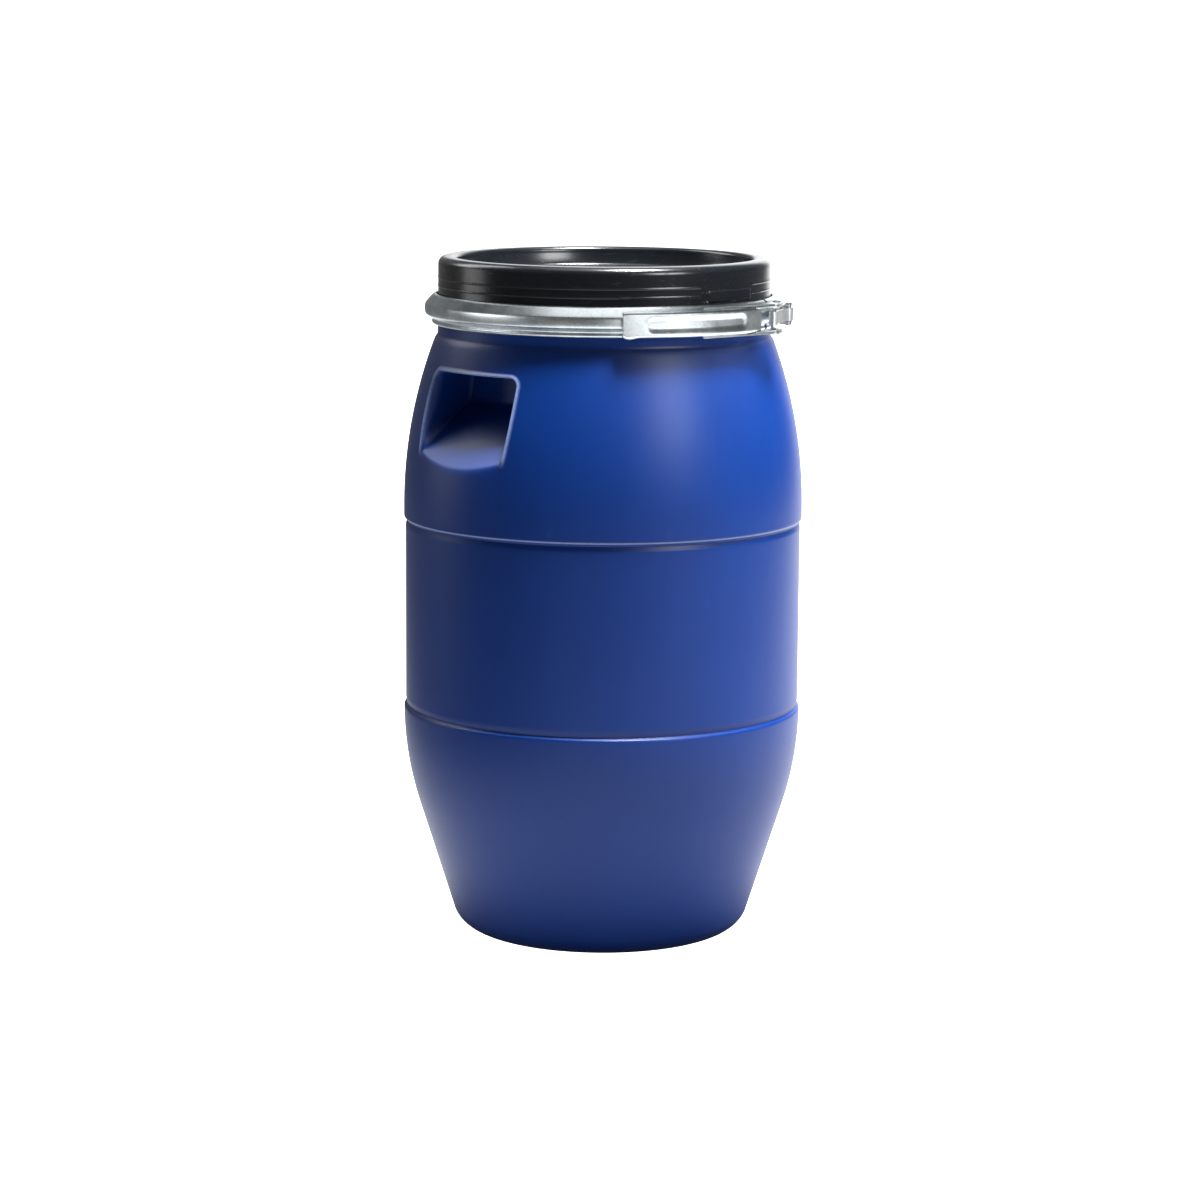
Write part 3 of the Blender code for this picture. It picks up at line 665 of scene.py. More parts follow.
def outside_rows():
    bead_top = arc((BEAD_RADIUS - 0.0015, RIM - 0.0015), 0.0015, 90.0, 0.0, 5)
    bead_foot = softened([(BEAD_RADIUS, RIM - 0.0045), (BEAD_RADIUS, RIM - 0.0065),
                          (BEAD_RADIUS - 0.003, RIM - 0.0085), (NECK_RADIUS, RIM - 0.0107),
                          (NECK_RADIUS, RIM - 0.014)])
    neck = softened([(NECK_RADIUS, NECK_FOOT + 0.006), (NECK_RADIUS, NECK_FOOT + 0.0015),
                     (NECK_RADIUS + 0.0018, NECK_FOOT - 0.001)], 3)
    runs = ((NECK_FOOT - 0.003, OVER_ROOF, 0.003), (OVER_ROOF, UNDER_ROOF, 0.0008),
            (UNDER_ROOF, OVER_LEDGE, 0.0022), (OVER_LEDGE, UNDER_LEDGE, 0.0014),
            (UNDER_LEDGE, OVER_LIP, 0.0025), (OVER_LIP, UNDER_LIP, 0.0015), (UNDER_LIP, WIDEST, 0.003))
    shoulder = [(shoulder_radius(z), z) for run in runs for z in steps_between(*run)]
    bulge = dense([(BODY_RADIUS, WIDEST), (BODY_RADIUS, UPPER_RIB + 0.0042)], 0.003)
    upper = softened([(BODY_RADIUS, UPPER_RIB + 0.0036), (BODY_RADIUS - 0.0002, UPPER_RIB + 0.0013),
                      (BODY_RADIUS - RIB_DEPTH, UPPER_RIB - 0.0011),
                      (BELT_RADIUS - 0.0006, UPPER_RIB - 0.0036), (BELT_RADIUS, UPPER_RIB - 0.0060)])
    belt = dense([(BELT_RADIUS, UPPER_RIB - 0.008), (BELT_RADIUS, LOWER_RIB + 0.010)], 0.006)
    lower = softened([(BELT_RADIUS, LOWER_RIB + 0.008), (BELT_RADIUS - 0.0004, LOWER_RIB + 0.0050),
                      (BODY_RADIUS - RIB_DEPTH, LOWER_RIB + 0.0021),
                      (BODY_RADIUS - 0.0004, LOWER_RIB + 0.0006), (BODY_RADIUS, LOWER_RIB - 0.0008)])
    return [bead_top + bead_foot + neck, shoulder, bulge + upper + belt + lower + base_curve(0.0, 34)[1:]]


def inside_rows():
    base = list(reversed(base_curve(WALL, 16)))
    belt = BELT_RADIUS - WALL
    side = dense([base[-1], (belt, LOWER_RIB + 0.006), (belt, UPPER_RIB - 0.004)], 0.02)
    floor = dense([(AXIS_GAP, BASE_LIFT + WALL), (BASE_RADIUS - FOOT_WIDTH - WALL, BASE_LIFT + WALL)], 0.012)
    gully = [(BASE_RADIUS - FOOT_WIDTH + WALL, WALL)]
    runs = ((WIDEST, UNDER_LIP, 0.006), (UNDER_LIP, OVER_HOUSING, 0.0022),
            (OVER_HOUSING, NECK_FOOT - 0.003, 0.003))
    shoulder = [(shoulder_radius(z, WALL), z) for run in runs for z in steps_between(*run)]
    mouth = softened([(MOUTH_RADIUS + 0.001, NECK_FOOT - 0.002), (MOUTH_RADIUS, NECK_FOOT + 0.003),
                      (MOUTH_RADIUS, RIM - 0.0015), (MOUTH_RADIUS + 0.0015, RIM)])
    return [floor + gully + base + side[1:], shoulder, mouth]


print("rows outside:", sum(map(len, outside_rows())), "and inside:", sum(map(len, inside_rows())))

# %% [markdown]
# ## One skin from the floor inside to the foot
# The rows run from the middle of the floor up the inside, over the rim, down the outside and back to the
# middle underneath. Only the shoulder rows are touched by the grips, so the rest stays perfectly round.

# %% Keg mesh
def make_keg_mesh():
    columns = keg_columns()
    rows = []
    below, inner, mouth = inside_rows()
    rows += [keg_row(r, z, columns, WALL, False) for r, z in below]
    rows += [keg_row(r, z, columns, WALL, True) for r, z in inner]
    rows += [keg_row(r, z, columns, WALL, False) for r, z in mouth]
    top, outer, rest = outside_rows()
    rows += [keg_row(r, z, columns, 0.0, False) for r, z in top]
    rows += [keg_row(r, z, columns, 0.0, True) for r, z in outer]
    rows += [keg_row(r, z, columns, 0.0, False) for r, z in rest]
    foot = softened([(BASE_RADIUS - 0.002, 0.0), (BASE_RADIUS - FOOT_WIDTH, 0.0),
                     (BASE_RADIUS - FOOT_WIDTH - WALL, BASE_LIFT), (0.06, BASE_LIFT)])
    under = dense(foot + [(AXIS_GAP, BASE_LIFT)], 0.012)
    rows += [keg_row(r, z, columns, 0.0, False) for r, z in under]
    return tidy(skin("keg_body", rows), cap_ends=True)


keg_mesh = make_keg_mesh()
print("keg mesh:", len(keg_mesh.vertices), "points")

# %% [markdown]
# ## Painted edge highlights
# The rolled edges of the grips and the upper edge of the rib are painted pale, a painted highlight where the
# rounded plastic catches the light. A number stored on each point of the mesh says how much. It is worked
# out from the same sums as the shape, so that the pale line sits exactly on the edge, which a mask made from
# noise alone could not do.

# %% Painted edge highlights and the finished keg
def edge_highlight(place):
    """How pale a point of the skin is painted as a highlight: on the rolled grip edges and the upper rib."""
    radius = math.hypot(place.x, place.y)
    if radius > BELT_RADIUS - 0.0005:
        return bump(place.z, UPPER_RIB + 0.0014, 0.0013) * 0.8
    bearing = math.degrees(math.atan2(place.x, -place.y))
    for middle in GRIP_BEARINGS:
        turn = math.radians(bearing - middle)
        across, reach = radius * math.sin(turn), radius * math.cos(turn)
        surface = shoulder_radius(min(NECK_FOOT, max(WIDEST, place.z)))
        if reach > 0.1 and abs(across) < GRIP_ZONE and reach > math.sqrt(surface ** 2 - across ** 2) - 0.004:
            fade = smoothstep(GRIP_BOTTOM + 0.004, GRIP_BOTTOM + 0.014, place.z)
            return bump(depth_inside(across, place.z, 0.0), -0.0011, 0.0026) * fade
    return 0.0


# stores the painted edge highlight on every point of the keg's mesh
def mark_edge_highlight(data):
    marks = data.attributes.new("rubbed", "FLOAT", "POINT")
    marks.data.foreach_set("value", [edge_highlight(v.co) for v in data.vertices])
    return data


keg = dressed(add_piece("keg_body", mark_edge_highlight(keg_mesh), "drum"), blue_plastic)
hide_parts("drum_body")
print("keg body:", len(keg.data.polygons), "faces")

# %% [markdown]
# ## The lid
# The lid is a shallow cap: a rounded crown round a sunk panel, a wall with two fine ribs, and a flange
# under the ring. The panel has stacking steps and a small raised middle, where the plastic was fed into
# the mould. Its outline is written once, all the way round the section, since turning one closed section
# gives a hollow lid with no extra work.

# %% Lid outline
LID_RADIUS = NECK_RADIUS - 0.0003
PANEL = CROWN_TOP - 0.018
LID_WALL = 0.003
SKIRT_EDGE = RIM - 0.007


def lid_outline():
    crown_in = LID_RADIUS - 0.0165
    panel = softened([(AXIS_GAP, PANEL + 0.0012), (0.010, PANEL + 0.0012), (0.013, PANEL), (0.052, PANEL),
                      (0.0535, PANEL + 0.0014), (0.060, PANEL + 0.0014), (0.0615, PANEL), (0.104, PANEL),
                      (0.1055, PANEL + 0.0018), (0.1125, PANEL + 0.0018), (0.114, PANEL), (0.128, PANEL),
                      (crown_in - 0.0032, PANEL + 0.0004), (crown_in - 0.0012, PANEL + 0.006),
                      (crown_in, CROWN_TOP - 0.006)], 3)
    inner_edge = arc((crown_in + 0.004, CROWN_TOP - 0.004), 0.004, 180.0, 90.0, 7)
    outer_edge = arc((LID_RADIUS - 0.007, CROWN_TOP - 0.007), 0.007, 90.0, 0.0, 10)
    wall = [(LID_RADIUS, z) for z in steps_between(CROWN_TOP - 0.0075, RIM + 0.0108, 0.00055)]
    reach = BAND_FACE - 0.0024
    flange = softened([(LID_RADIUS, RIM + 0.0105), (NECK_RADIUS + 0.0024, RIM + 0.0093),
                       (reach - 0.0008, RIM + 0.0023), (reach, RIM + 0.0015), (reach, RIM + 0.0003)])
    low, high = seal_edges()
    roof = RIM + 0.0056
    channel = [(high + 0.0003, RIM + 0.0003), (high + 0.0003, roof), (low - 0.0003, roof),
               (low - 0.0003, RIM + 0.0003)]
    skirt = MOUTH_RADIUS - 0.0005
    skirt_line = [(skirt, RIM + 0.0003), (skirt, SKIRT_EDGE + 0.0008), (skirt - 0.0008, SKIRT_EDGE),
                  (skirt - LID_WALL, SKIRT_EDGE), (skirt - LID_WALL, RIM + 0.0063)]
    under = [(LID_RADIUS - LID_WALL, RIM + 0.0093), (LID_RADIUS - LID_WALL, CROWN_TOP - 0.007),
             (LID_RADIUS - 0.007, CROWN_TOP - LID_WALL), (crown_in + LID_WALL, CROWN_TOP - LID_WALL),
             (crown_in, PANEL - LID_WALL), (AXIS_GAP, PANEL - LID_WALL)]
    return panel + inner_edge + outer_edge[1:] + wall + flange, channel + skirt_line + under


def seal_edges():
    middle = (MOUTH_RADIUS + BEAD_RADIUS) / 2
    return middle - 0.004, middle + 0.004


print("outline of the lid:", [len(line) for line in lid_outline()], "points shown and hidden")

# %% [markdown]
# ## Details on the lid's wall
# Two fine ribs run round the wall. On the right front they stop at a small notch, and a raised sealing
# pad fills their place, with a faint swelling under it. Each is a soft bump in height times a soft range
# of bearings, so the details melt into the wall as moulded ones do.

# %% Lid wall and the finished lid
RIB_HEIGHTS = (CROWN_TOP - 0.0190, CROWN_TOP - 0.0268)
RIB_RISE = 0.00042
DETAIL_RISE = 0.0007
PAD_START, PAD_END = 37.0, 59.0
PAD_LOW, PAD_HIGH = CROWN_TOP - 0.0325, CROWN_TOP - 0.0220
NOTCH_START, NOTCH_END = 34.2, 37.0
NOTCH_LOW, NOTCH_HIGH = CROWN_TOP - 0.0322, CROWN_TOP - 0.0236
SWELL_MIDDLE, SWELL_HEIGHT = 46.0, CROWN_TOP - 0.0340


def plateau(value, low, high, rise, fall):
    """A flat top from low to high that rises and falls softly inside its two ends."""
    return smoothstep(low, low + rise, value) * (1.0 - smoothstep(high - fall, high, value))


def wall_relief(bearing, height):
    """How far ribs, notch, pad and swelling stand out of the lid's wall."""
    ribs = sum(bump(height, z, 0.0009) for z in RIB_HEIGHTS)
    free = 1.0 - plateau(bearing, NOTCH_START - 0.8, PAD_END + 2.0, 0.8, 2.0)
    pad = plateau(bearing, PAD_START, PAD_END, 0.5, 0.5) * plateau(height, PAD_LOW, PAD_HIGH, 0.0009, 0.0008)
    notch = plateau(bearing, NOTCH_START, NOTCH_END, 0.4, 0.4)
    notch *= plateau(height, NOTCH_LOW, NOTCH_HIGH, 0.0006, 0.0006)
    swell = bump(bearing, SWELL_MIDDLE, 13.0) * bump(height, SWELL_HEIGHT, 0.0035)
    return RIB_RISE * ribs * free + DETAIL_RISE * (pad - notch + swell)


def make_lid_mesh():
    bearings = (steps_between(-180.0, 30.0, 1.5) + steps_between(30.0, 64.0, 0.35)
                + steps_between(64.0, 180.0, 1.5))
    shown, hidden = lid_outline()
    rows = []
    for r, z in shown:
        on_wall = abs(r - LID_RADIUS) < 0.0001 and z < CROWN_TOP - 0.007
        rows.append([at_bearing(b, r + (wall_relief(b, z) if on_wall else 0.0), z) for b in bearings])
    rows += [[at_bearing(b, r, z) for b in bearings] for r, z in dense(hidden, 0.02)]
    return tidy(skin("lid_shell", rows), sharp=50.0, cap_ends=True)


lid = dressed(add_piece("lid_shell", make_lid_mesh(), "lid"), black_plastic)
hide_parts("lid")
print("lid:", len(lid.data.polygons), "faces")

# %% [markdown]
# ## The seal
# A real seal is a soft cord that bulges a little. Its section is a rounded box with a flat foot, turned
# once.

# %% Seal
def make_seal_mesh():
    low, high = seal_edges()
    bottom, top, cut = RIM + 0.0003, RIM + 0.0053, 0.0012
    section = [(low, bottom), (low, top - cut), (low + cut, top), (high - cut, top), (high, top - cut),
               (high, bottom), (high - cut, bottom + 0.0002), (low + cut, bottom + 0.0002)]
    bearings = steps_between(0.0, 360.0, 2.5)
    rows = [[at_bearing(b, r, z) for b in bearings] for r, z in section]
    return tidy(skin("seal_cord", rows, closed_rows=True))


seal = dressed(add_piece("seal_cord", make_seal_mesh(), "lid"), rubber)
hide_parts("lid_seal")
print("seal:", len(seal.data.polygons), "faces")

# %% [markdown]
# ## The clamp band
# The band is one strip of sheet, roll formed to a hollow section: a lip over the lid, a steep flank, an
# upright face, a pinched groove and a rolled lip under the bead. Real metal is one piece that opens at the
# gap, so it is built as one skin.

# %% Clamp band
SHEET = 0.0012
GAP_BEARING = PIVOT_BEARING + math.degrees(0.0072 / PIVOT_RADIUS)
HALF_GAP = math.degrees(0.0029 / BAND_FACE)


def band_middle():
    """Middle line of the sheet, from the upper lip to the rolled lower lip."""
    lip, face = NECK_RADIUS + 0.0013, BAND_FACE - 0.0006
    waist = NECK_RADIUS + 0.0038
    return softened([(lip, RIM + 0.0114), (waist, RIM + 0.0108), (waist + 0.0022, RIM + 0.0085),
                     (face - 0.0014, RIM + 0.0040), (face, RIM + 0.0020), (face, RIM - 0.0050),
                     (face - 0.0014, RIM - 0.0068), (waist + 0.0014, RIM - 0.0092), (waist, RIM - 0.0112),
                     (waist + 0.0014, RIM - 0.0132), (waist + 0.0002, RIM - 0.0150), (lip, RIM - 0.0151)], 3)


def offset_loop(line, distance):
    """A closed outline at equal distance on both sides of a line: a strip of sheet seen from its end."""
    sides = []
    for sign in (1.0, -1.0):
        side = []
        for i, (r, z) in enumerate(line):
            r0, z0 = line[max(i - 1, 0)]
            r1, z1 = line[min(i + 1, len(line) - 1)]
            length = math.hypot(r1 - r0, z1 - z0)
            side.append((r - sign * (z1 - z0) / length * distance, z + sign * (r1 - r0) / length * distance))
        sides.append(side)
    return sides[0] + list(reversed(sides[1]))


def make_band_mesh():
    start, end = GAP_BEARING + HALF_GAP, GAP_BEARING + 360.0 - HALF_GAP
    bearings = steps_between(start, end, 1.0) + [end]
    loop = offset_loop(band_middle(), SHEET / 2)
    rows = [[at_bearing(b, r, z) for b in bearings] for r, z in loop]
    return tidy(skin("clamp_band", rows, closed_columns=False, closed_rows=True), sharp=50.0, cap_ends=True)


band = dressed(add_piece("clamp_band", make_band_mesh()), zinc)
across_gap = at_bearing(GAP_BEARING + 90.0, 0.0025, 0.0)
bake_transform(band)
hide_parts("clamp_band_left", "clamp_band_right")
print("band:", len(band.data.polygons), "faces")

# %% [markdown]
# ## The lever
# The lever is pressed from plate. It follows the ring's curve, has folded edges above and below, and a
# long oval channel pressed into its face to stiffen it. Its free end is rounded and has a small finger
# tab at the bottom. Beyond the face its edges run on as two ears to the pivot. The face is a grid whose
# rows run round the fold, and each detail is again a small shift of its points.

# %% Shape of the lever
PLATE = 0.0015
FREE_END = PIVOT_BEARING - math.degrees(0.178 / PIVOT_RADIUS)
FACE_END = PIVOT_BEARING - math.degrees(0.029 / PIVOT_RADIUS)
LEVER_RADIUS = BAND_FACE + 0.0051
LEVER_INSIDE = LEVER_RADIUS - 0.0028
FOLD = 0.0022
PRESS_START, PRESS_END = 12.0, 48.5
PRESS_HALF = 0.0086
PRESS_DEPTH = 0.0014
CORNER_RUN = 0.004


def lever_section():
    """Middle line of the folded plate at one bearing: (r, z) from the upper edge round to the lower one."""
    half = LEVER_HEIGHT / 2 - PLATE / 2
    upper = arc((LEVER_RADIUS - FOLD, CLAMP_MID + half - FOLD), FOLD, 90.0, 0.0, 6)
    lower = arc((LEVER_RADIUS - FOLD, CLAMP_MID - half + FOLD), FOLD, 0.0, -90.0, 6)
    face = dense([upper[-1], lower[0]], 0.0006)
    ends = (LEVER_INSIDE, CLAMP_MID + half), (LEVER_INSIDE, CLAMP_MID - half)
    return [ends[0]] + upper[:-1] + face + lower[1:] + [ends[1]]


def pressed(bearing, height):
    """Depth of the oval channel at a point of the face."""
    along = math.radians(bearing - (PRESS_START + PRESS_END) / 2) * LEVER_RADIUS
    half_long = math.radians(PRESS_END - PRESS_START) / 2 * LEVER_RADIUS - PRESS_HALF
    distance = math.hypot(max(abs(along) - half_long, 0.0), height - CLAMP_MID + 0.0003)
    return PRESS_DEPTH * (1.0 - smoothstep(0.30 * PRESS_HALF, PRESS_HALF, distance))


def end_flare(bearing):
    """The plate's half height shrinks at the free end, which rounds its corners."""
    along = math.radians(bearing - FREE_END) * LEVER_RADIUS
    if along >= CORNER_RUN:
        return 1.0
    return 1.0 - 0.16 * (1.0 - math.sqrt(max(0.0, 1.0 - (1.0 - along / CORNER_RUN) ** 2)))


def tab_drop(bearing, height):
    """The finger tab: the lower edge reaches down a little near the free end."""
    low = max(0.0, (CLAMP_MID - height) / (LEVER_HEIGHT / 2))
    return 0.0018 * bump(bearing, FREE_END + 2.0, 3.2) * low ** 3


print("lever's bearings:", round(FREE_END, 1), "to", round(FACE_END, 1))

# %% [markdown]
# ## Sheet thickness
# A pressed plate is the same thickness all over. So the face is built as a single surface, and a Solidify
# modifier gives it the sheet's thickness. A narrow bevel then breaks the cut edges, which is what catches
# the light.

# %% Lever face
def make_lever_face():
    bearings = (steps_between(FREE_END, FREE_END + 1.5, 0.15) + steps_between(FREE_END + 1.5, FACE_END, 0.4)
                + [FACE_END])
    rows = []
    for r, z in lever_section():
        heights = [CLAMP_MID + (z - CLAMP_MID) * end_flare(b) - tab_drop(b, z) for b in bearings]
        rows.append([at_bearing(b, r - pressed(b, z), height) for b, height in zip(bearings, heights)])
    return tidy(skin("lever_face", rows, closed_columns=False))


def soft_edges(item, width=0.0003, even_shading=True):
    """Break every sharp edge with a narrow bevel."""
    soft = item.modifiers.new("edges", "BEVEL")
    soft.width = width
    soft.segments = 2
    soft.limit_method = "ANGLE"
    soft.angle_limit = math.radians(50.0)
    soft.harden_normals = even_shading
    return item


lever = dressed(add_piece("lever_plate", make_lever_face(), "lever"), zinc)
solid = lever.modifiers.new("sheet", "SOLIDIFY")
solid.thickness = PLATE
solid.offset = 0.0
solid.use_even_offset = True
soft_edges(lever, even_shading=False)
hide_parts("lever")
print("lever:", len(lever.data.polygons), "faces")

# %% [markdown]
# ## The lever's ears
# Each ear is flat plate: a strip along the fold that widens into a round eye at the pivot and another at
# the link's rivet. Its outline is drawn in plan once. Both eyes are placed on the model's own joint axes,
# so that the ear turns about its hole.

# %% Outline of an ear
JOINTS = {joint["name"]: joint for joint in frame["joints"]}


def joint_place(name):
    x, y, _ = JOINTS[name]["pos_m"]
    return Vector((x, y, 0.0))


PIVOT = joint_place("lever_turn")
LINK_RIVET = joint_place("link_turn")
EYE = 0.0053


def lobe(centre, radius, start, end, steps=14):
    """A rounded end in plan, between two bearings about its own centre."""
    return [centre + at_bearing(start + (end - start) * i / steps, radius, 0.0) for i in range(steps + 1)]


def ear_outline():
    pivot_bearing = math.degrees(math.atan2(PIVOT.x, -PIVOT.y))
    rivet_bearing = math.degrees(math.atan2(LINK_RIVET.x, -LINK_RIVET.y))
    start = FACE_END - math.degrees(0.008 / PIVOT_RADIUS)
    outer = LEVER_RADIUS + PLATE / 2
    neck = pivot_bearing - math.degrees(EYE / PIVOT_RADIUS)
    low = [at_bearing(b, LEVER_INSIDE, 0.0) for b in steps_between(start, neck, 1.0)]
    end = lobe(PIVOT, EYE, pivot_bearing + 180.0, pivot_bearing)
    crest = lobe(LINK_RIVET, EYE, rivet_bearing + 10.0, rivet_bearing - 50.0, 8)
    return low + end + crest + [at_bearing(start, outer, 0.0)]


print("pivot", [round(v, 4) for v in PIVOT[:2]], "link rivet", [round(v, 4) for v in LINK_RIVET[:2]])

# %% [markdown]
# ## Cutting the ears
# The outline is one flat face below, another above, and a wall of quads between them. The same ear is
# made twice, at the plate's upper and lower fold.

# %% Ears
def make_ear(name, middle):
    work = bmesh.new()
    for height in (middle - PLATE / 2, middle + PLATE / 2):
        work.faces.new([work.verts.new(Vector((p.x, p.y, height))) for p in ear_outline()])
    work.verts.ensure_lookup_table()
    count = len(work.verts) // 2
    for i in range(count):
        j = (i + 1) % count
        work.faces.new([work.verts[i], work.verts[j], work.verts[count + j], work.verts[count + i]])
    bmesh.ops.recalc_face_normals(work, faces=work.faces)
    data = bpy.data.meshes.new(name)
    work.to_mesh(data)
    work.free()
    data.shade_smooth()
    data.set_sharp_from_angle(angle=math.radians(40.0))
    return dressed(add_piece(name, data, "lever"), zinc)


for side, name in ((1.0, "lever_ear_upper"), (-1.0, "lever_ear_lower")):
    ear = soft_edges(make_ear(name, CLAMP_MID + side * (LEVER_HEIGHT / 2 - PLATE / 2)))
    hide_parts("lever")
    print(name, len(ear.data.vertices), "points")

# %% [markdown]
# ## Rivets
# A set rivet has a low domed head. Each is turned about its own axis from the box of its CAD node, with a
# head only at the ends that show one.

# %% Rivets
HEAD_RISE = 0.0014
SHANK = 0.0024
END_CUT = 0.0003


def make_rivet(node, name, heads=(True, True)):
    low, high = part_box(node)
    centre, head = (low + high) / 2, (high.x - low.x) / 2
    bottom, top = low.z, high.z
    dome = [(head * math.sin(math.radians(a)), 1.0 - math.cos(math.radians(a))) for a in range(6, 91, 12)]
    line = [(AXIS_GAP / 2, bottom)]
    if heads[0]:
        line += [(r, bottom + HEAD_RISE * h) for r, h in dome] + [(SHANK, bottom + HEAD_RISE)]
    else:
        line += [(SHANK - END_CUT, bottom), (SHANK, bottom + END_CUT)]
    if heads[1]:
        line += [(SHANK, top - HEAD_RISE)] + [(r, top - HEAD_RISE * h) for r, h in reversed(dome)]
    else:
        line += [(SHANK, top - END_CUT), (SHANK - END_CUT, top)]
    line.append((AXIS_GAP / 2, top))
    bearings = steps_between(0.0, 360.0, 12.0)
    rows = [[Vector((centre.x, centre.y, 0.0)) + at_bearing(b, r, z) for b in bearings] for r, z in line]
    data = tidy(skin(name, rows), sharp=50.0, cap_ends=True)
    rivet = dressed(add_piece(name, data, NODE_BODY[node]), rivet_steel)
    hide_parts(node)
    print(name, "rides on", NODE_BODY[node])


NODE_BODY = {node: body for body, nodes in frame["record"]["behaviour"]["bodies"].items() for node in nodes}
make_rivet("fulcrum_rivet_upper", "pivot_rivet_upper", heads=(False, True))
make_rivet("fulcrum_rivet_lower", "pivot_rivet_lower", heads=(True, False))
make_rivet("link_rivet", "link_pin", heads=(False, False))
make_rivet("catch_pin", "catch_pin_set")

# %% [markdown]
# ## Brackets and link
# The brackets and the link already have their right shape in CAD, so they stay, with soft edges. The catch
# and the link get a darker copy of the plating, a painted shade for the shadow they sit in.

# %% Brackets and link
for node, finish in (("fulcrum_bracket", zinc), ("catch_bracket", shaded_zinc), ("draw_link", shaded_zinc)):
    item = dressed(soft_edges(frame["nodes"][node], 0.00025), finish)
    print(node, "is plated with", finish.name)

# %% [markdown]
# ## A paper floor
# Small goods are shown on a long sheet of pale paper that bends up behind them, so that no corner shows.
# Its paint is white to the eye. To reflections it is bright only in a few soft regions and dark
# elsewhere, as a real studio with black screens is, and that is what draws the shaded sides of the dark
# plastic.

# %% Floor
FLOOR_HALF = 7.0
FLOOR_BACK = 4.5
FLOOR_BEND = 1.6
WALL_HEIGHT = 6.0


def make_floor():
    half, back, bend = FLOOR_HALF, FLOOR_BACK, FLOOR_BEND
    line = [(-half, 0.0), (-2.0, 0.0), (0.0, 0.0), (2.0, 0.0)]
    line += [(back - bend + bend * math.sin(math.radians(a)), bend - bend * math.cos(math.radians(a)))
             for a in range(0, 91, 6)]
    line.append((back, WALL_HEIGHT))
    return tidy(skin("studio_floor", [[Vector((x, y, z)) for x in (-half, 0.0, half)] for y, z in line],
                     closed_columns=False))


def make_floor_paint():
    finish = Finish("studio_paper")
    shade = finish.noise(1.5, 2.0)
    colour = finish.blend(shade, (0.80, 0.80, 0.80, 1.0), (0.84, 0.84, 0.84, 1.0))
    side, depth = (finish.node("ShaderNodeSeparateXYZ", {}, {0: finish.place}, axis) for axis in (0, 1))
    away = (side * side + depth * depth) ** 0.5
    seen = finish.node("ShaderNodeLightPath", {}, {}, "Is Camera Ray")
    lit = (1.0 - side.between(1.6, 2.8)) * side.between(-0.95, -0.10) * depth.between(-1.7, -1.0)
    lit = lit * away.between(0.13, 0.25) * (0.74 + side.between(0.0, 0.9) * 0.26)
    bright = seen + (1.0 - seen) * lit
    glow = finish.blend(bright, (0.02, 0.02, 0.02, 1.0), (1.0, 1.0, 1.0, 1.0))
    return finish.close(Base_Color=colour, Roughness=0.9, Emission_Color=glow, Emission_Strength=2.0)


floor = dressed(add_piece("studio_floor", make_floor()), make_floor_paint())
floor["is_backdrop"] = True
print("floor:", len(floor.data.polygons), "faces")

# %% [markdown]
# ## Soft boxes
# All lights are rectangles of half a metre and more, which give soft edges. Each is placed by its bearing
# and elevation as seen from the keg, with light linking to say which pieces it lights. Satin plastic and
# bright zinc need very different amounts: a light that shapes the dark blue wall would burn out the ring.

# %% Soft box helper
def add_softbox(name, bearing, elevation, distance, wide, tall, power, lit_parts=None, aim=0.35):
    light = bpy.data.lights.new(name, "AREA")
    light.shape = "RECTANGLE"
    light.size, light.size_y = wide, tall
    light.energy = power
    item = bpy.data.objects.new(name, light)
    scene.collection.objects.link(item)
    target = Vector((0.0, 0.0, aim))
    flat = distance * math.cos(math.radians(elevation))
    item.location = target + at_bearing(bearing, flat, distance * math.sin(math.radians(elevation)))
    item.rotation_euler = (target - item.location).to_track_quat("-Z", "Y").to_euler()
    item.light_linking.receiver_collection = lit_parts
    return item


all_parts, plastic_parts, metal_parts = (bpy.data.collections.new(name)
                                         for name in ("all_parts", "plastic_parts", "metal_parts"))
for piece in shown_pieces():
    all_parts.objects.link(piece)
    (plastic_parts if piece in (keg, lid, seal) else metal_parts).objects.link(piece)

# %% [markdown]
# ## Setting the lights
# A small strong light high on the right throws the ring's shadow on the shoulder. A wide one on the right
# shapes the round of the body. Two more only give reflections: one draws the tall highlight and one the
# faint sheen on the left. The metal has a broad fill in front and a soft box on the left of its own.

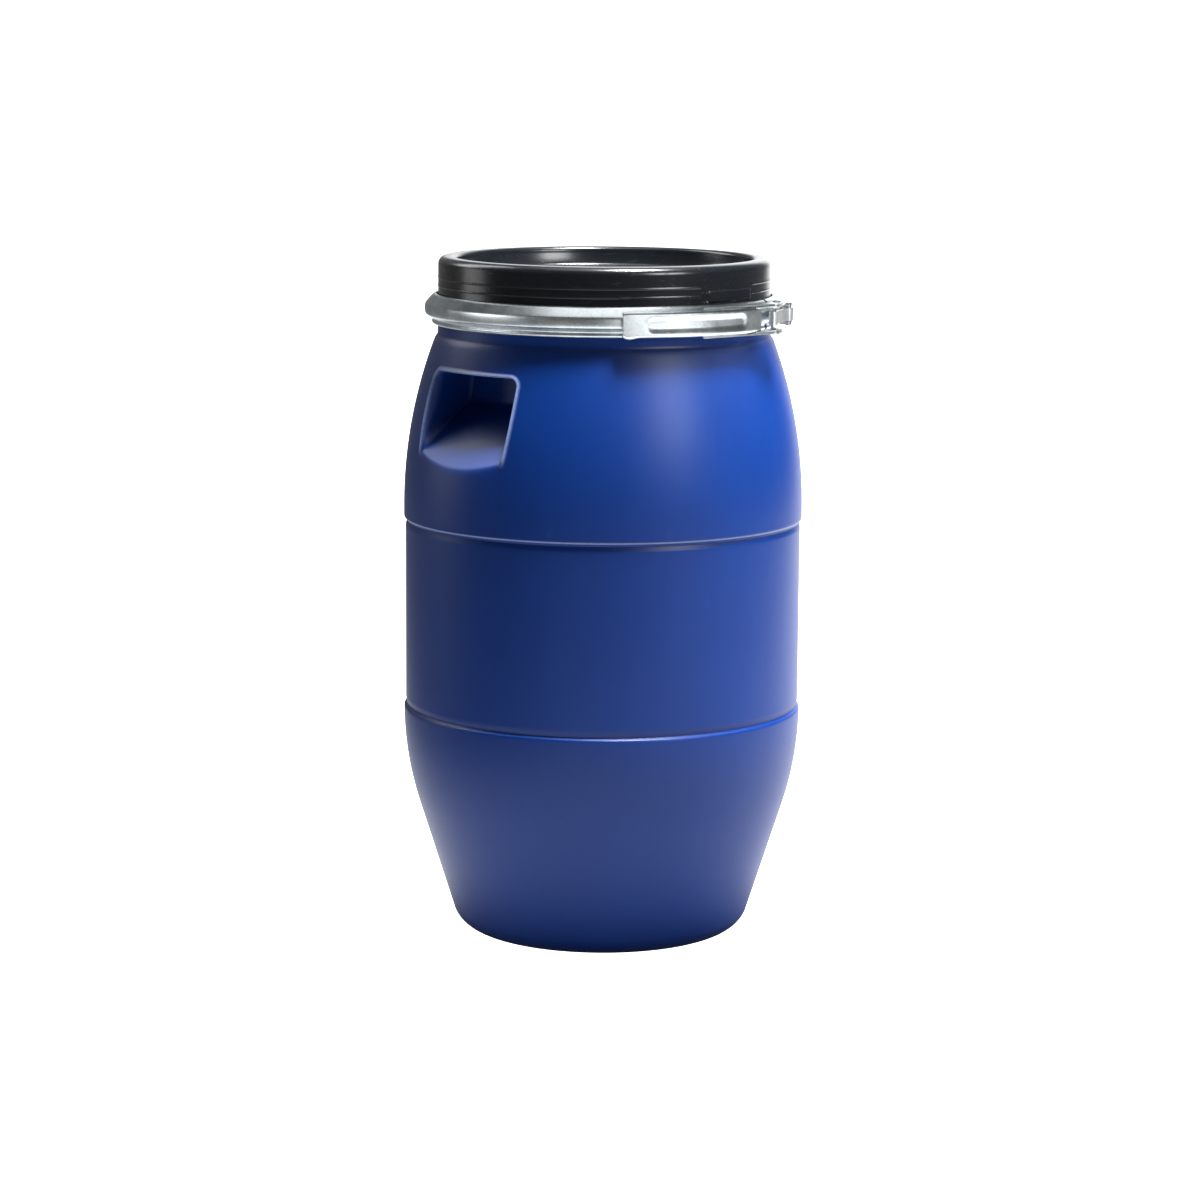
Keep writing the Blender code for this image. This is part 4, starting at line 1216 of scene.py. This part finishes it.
# %% Lights
add_softbox("key_high", 47.0, 74.0, 2.0, 0.5, 0.5, 150.0, plastic_parts, aim=0.42)
add_softbox("side_low", -99.0, 6.0, 2.2, 0.8, 0.8, 4.0, plastic_parts)
add_softbox("metal_fill", 36.0, 2.0, 2.4, 2.2, 0.5, 12.0, metal_parts, aim=0.58)
add_softbox("metal_left", -78.0, 12.0, 2.3, 1.3, 0.7, 9.0, metal_parts, aim=0.58)
add_softbox("overhead", 0.0, 88.0, 1.9, 1.5, 1.5, 11.0)
for sheen in (add_softbox("sheen_right", 43.0, 24.0, 2.4, 0.85, 0.7, 30.0, plastic_parts),
              add_softbox("sheen_left", -116.0, 41.0, 2.2, 0.8, 1.4, 21.0, plastic_parts)):
    sheen.visible_diffuse = False
key_right = add_softbox("key_right", 101.0, 36.0, 2.1, 1.3, 1.2, 76.0, all_parts)
key_right.visible_glossy = False

# %% [markdown]
# ## The air of the studio
# Past the paper's edges the background is the world. It is white to the eye and almost dark to
# reflections, for the same reason as the paper. The Standard view keeps white paper white and the blue
# pure.

# %% World
AIR_GLOW = 0.07

world = bpy.data.worlds.new("studio_air")
air = Finish("studio_air", world)
seen = air.node("ShaderNodeLightPath", {}, {}, "Is Camera Ray")
strength = seen * (1.0 - AIR_GLOW) + AIR_GLOW
air_light = air.node("ShaderNodeBackground", {}, {"Color": (1.0, 1.0, 1.0, 1.0), "Strength": strength})
air.node("ShaderNodeOutputWorld", {}, {"Surface": air_light}, None)
scene.world = world
scene.view_settings.view_transform = "Standard"
print("world nodes:", len(world.node_tree.nodes))

# %% [markdown]
# ## The camera
# A long lens from over three metres keeps the keg's sides almost parallel. The camera looks down a
# little, enough to see over the crown into the lid, and a small shift centres the keg without tilting it.

# %% Camera
CAMERA_PLACE = (0.0, -3.3317, 0.8536)
LOOK_DOWN = 0.1658
CAMERA_ROLL = -0.0072

camera_data = bpy.data.cameras.new("camera")
camera_data.sensor_width = 36.0
camera_data.lens = 108.33
camera_data.shift_x = -0.0054167
camera_data.shift_y = 0.0116667
camera = bpy.data.objects.new("camera", camera_data)
camera.location = CAMERA_PLACE
camera.rotation_euler = (math.pi / 2 - LOOK_DOWN, CAMERA_ROLL, 0.0)
scene.collection.objects.link(camera)
scene.camera = camera
print("lens:", round(camera_data.lens, 2), "mm")

# %% [markdown]
# ## The size of the skins
# The finished skins must stay inside the box of the CAD model.
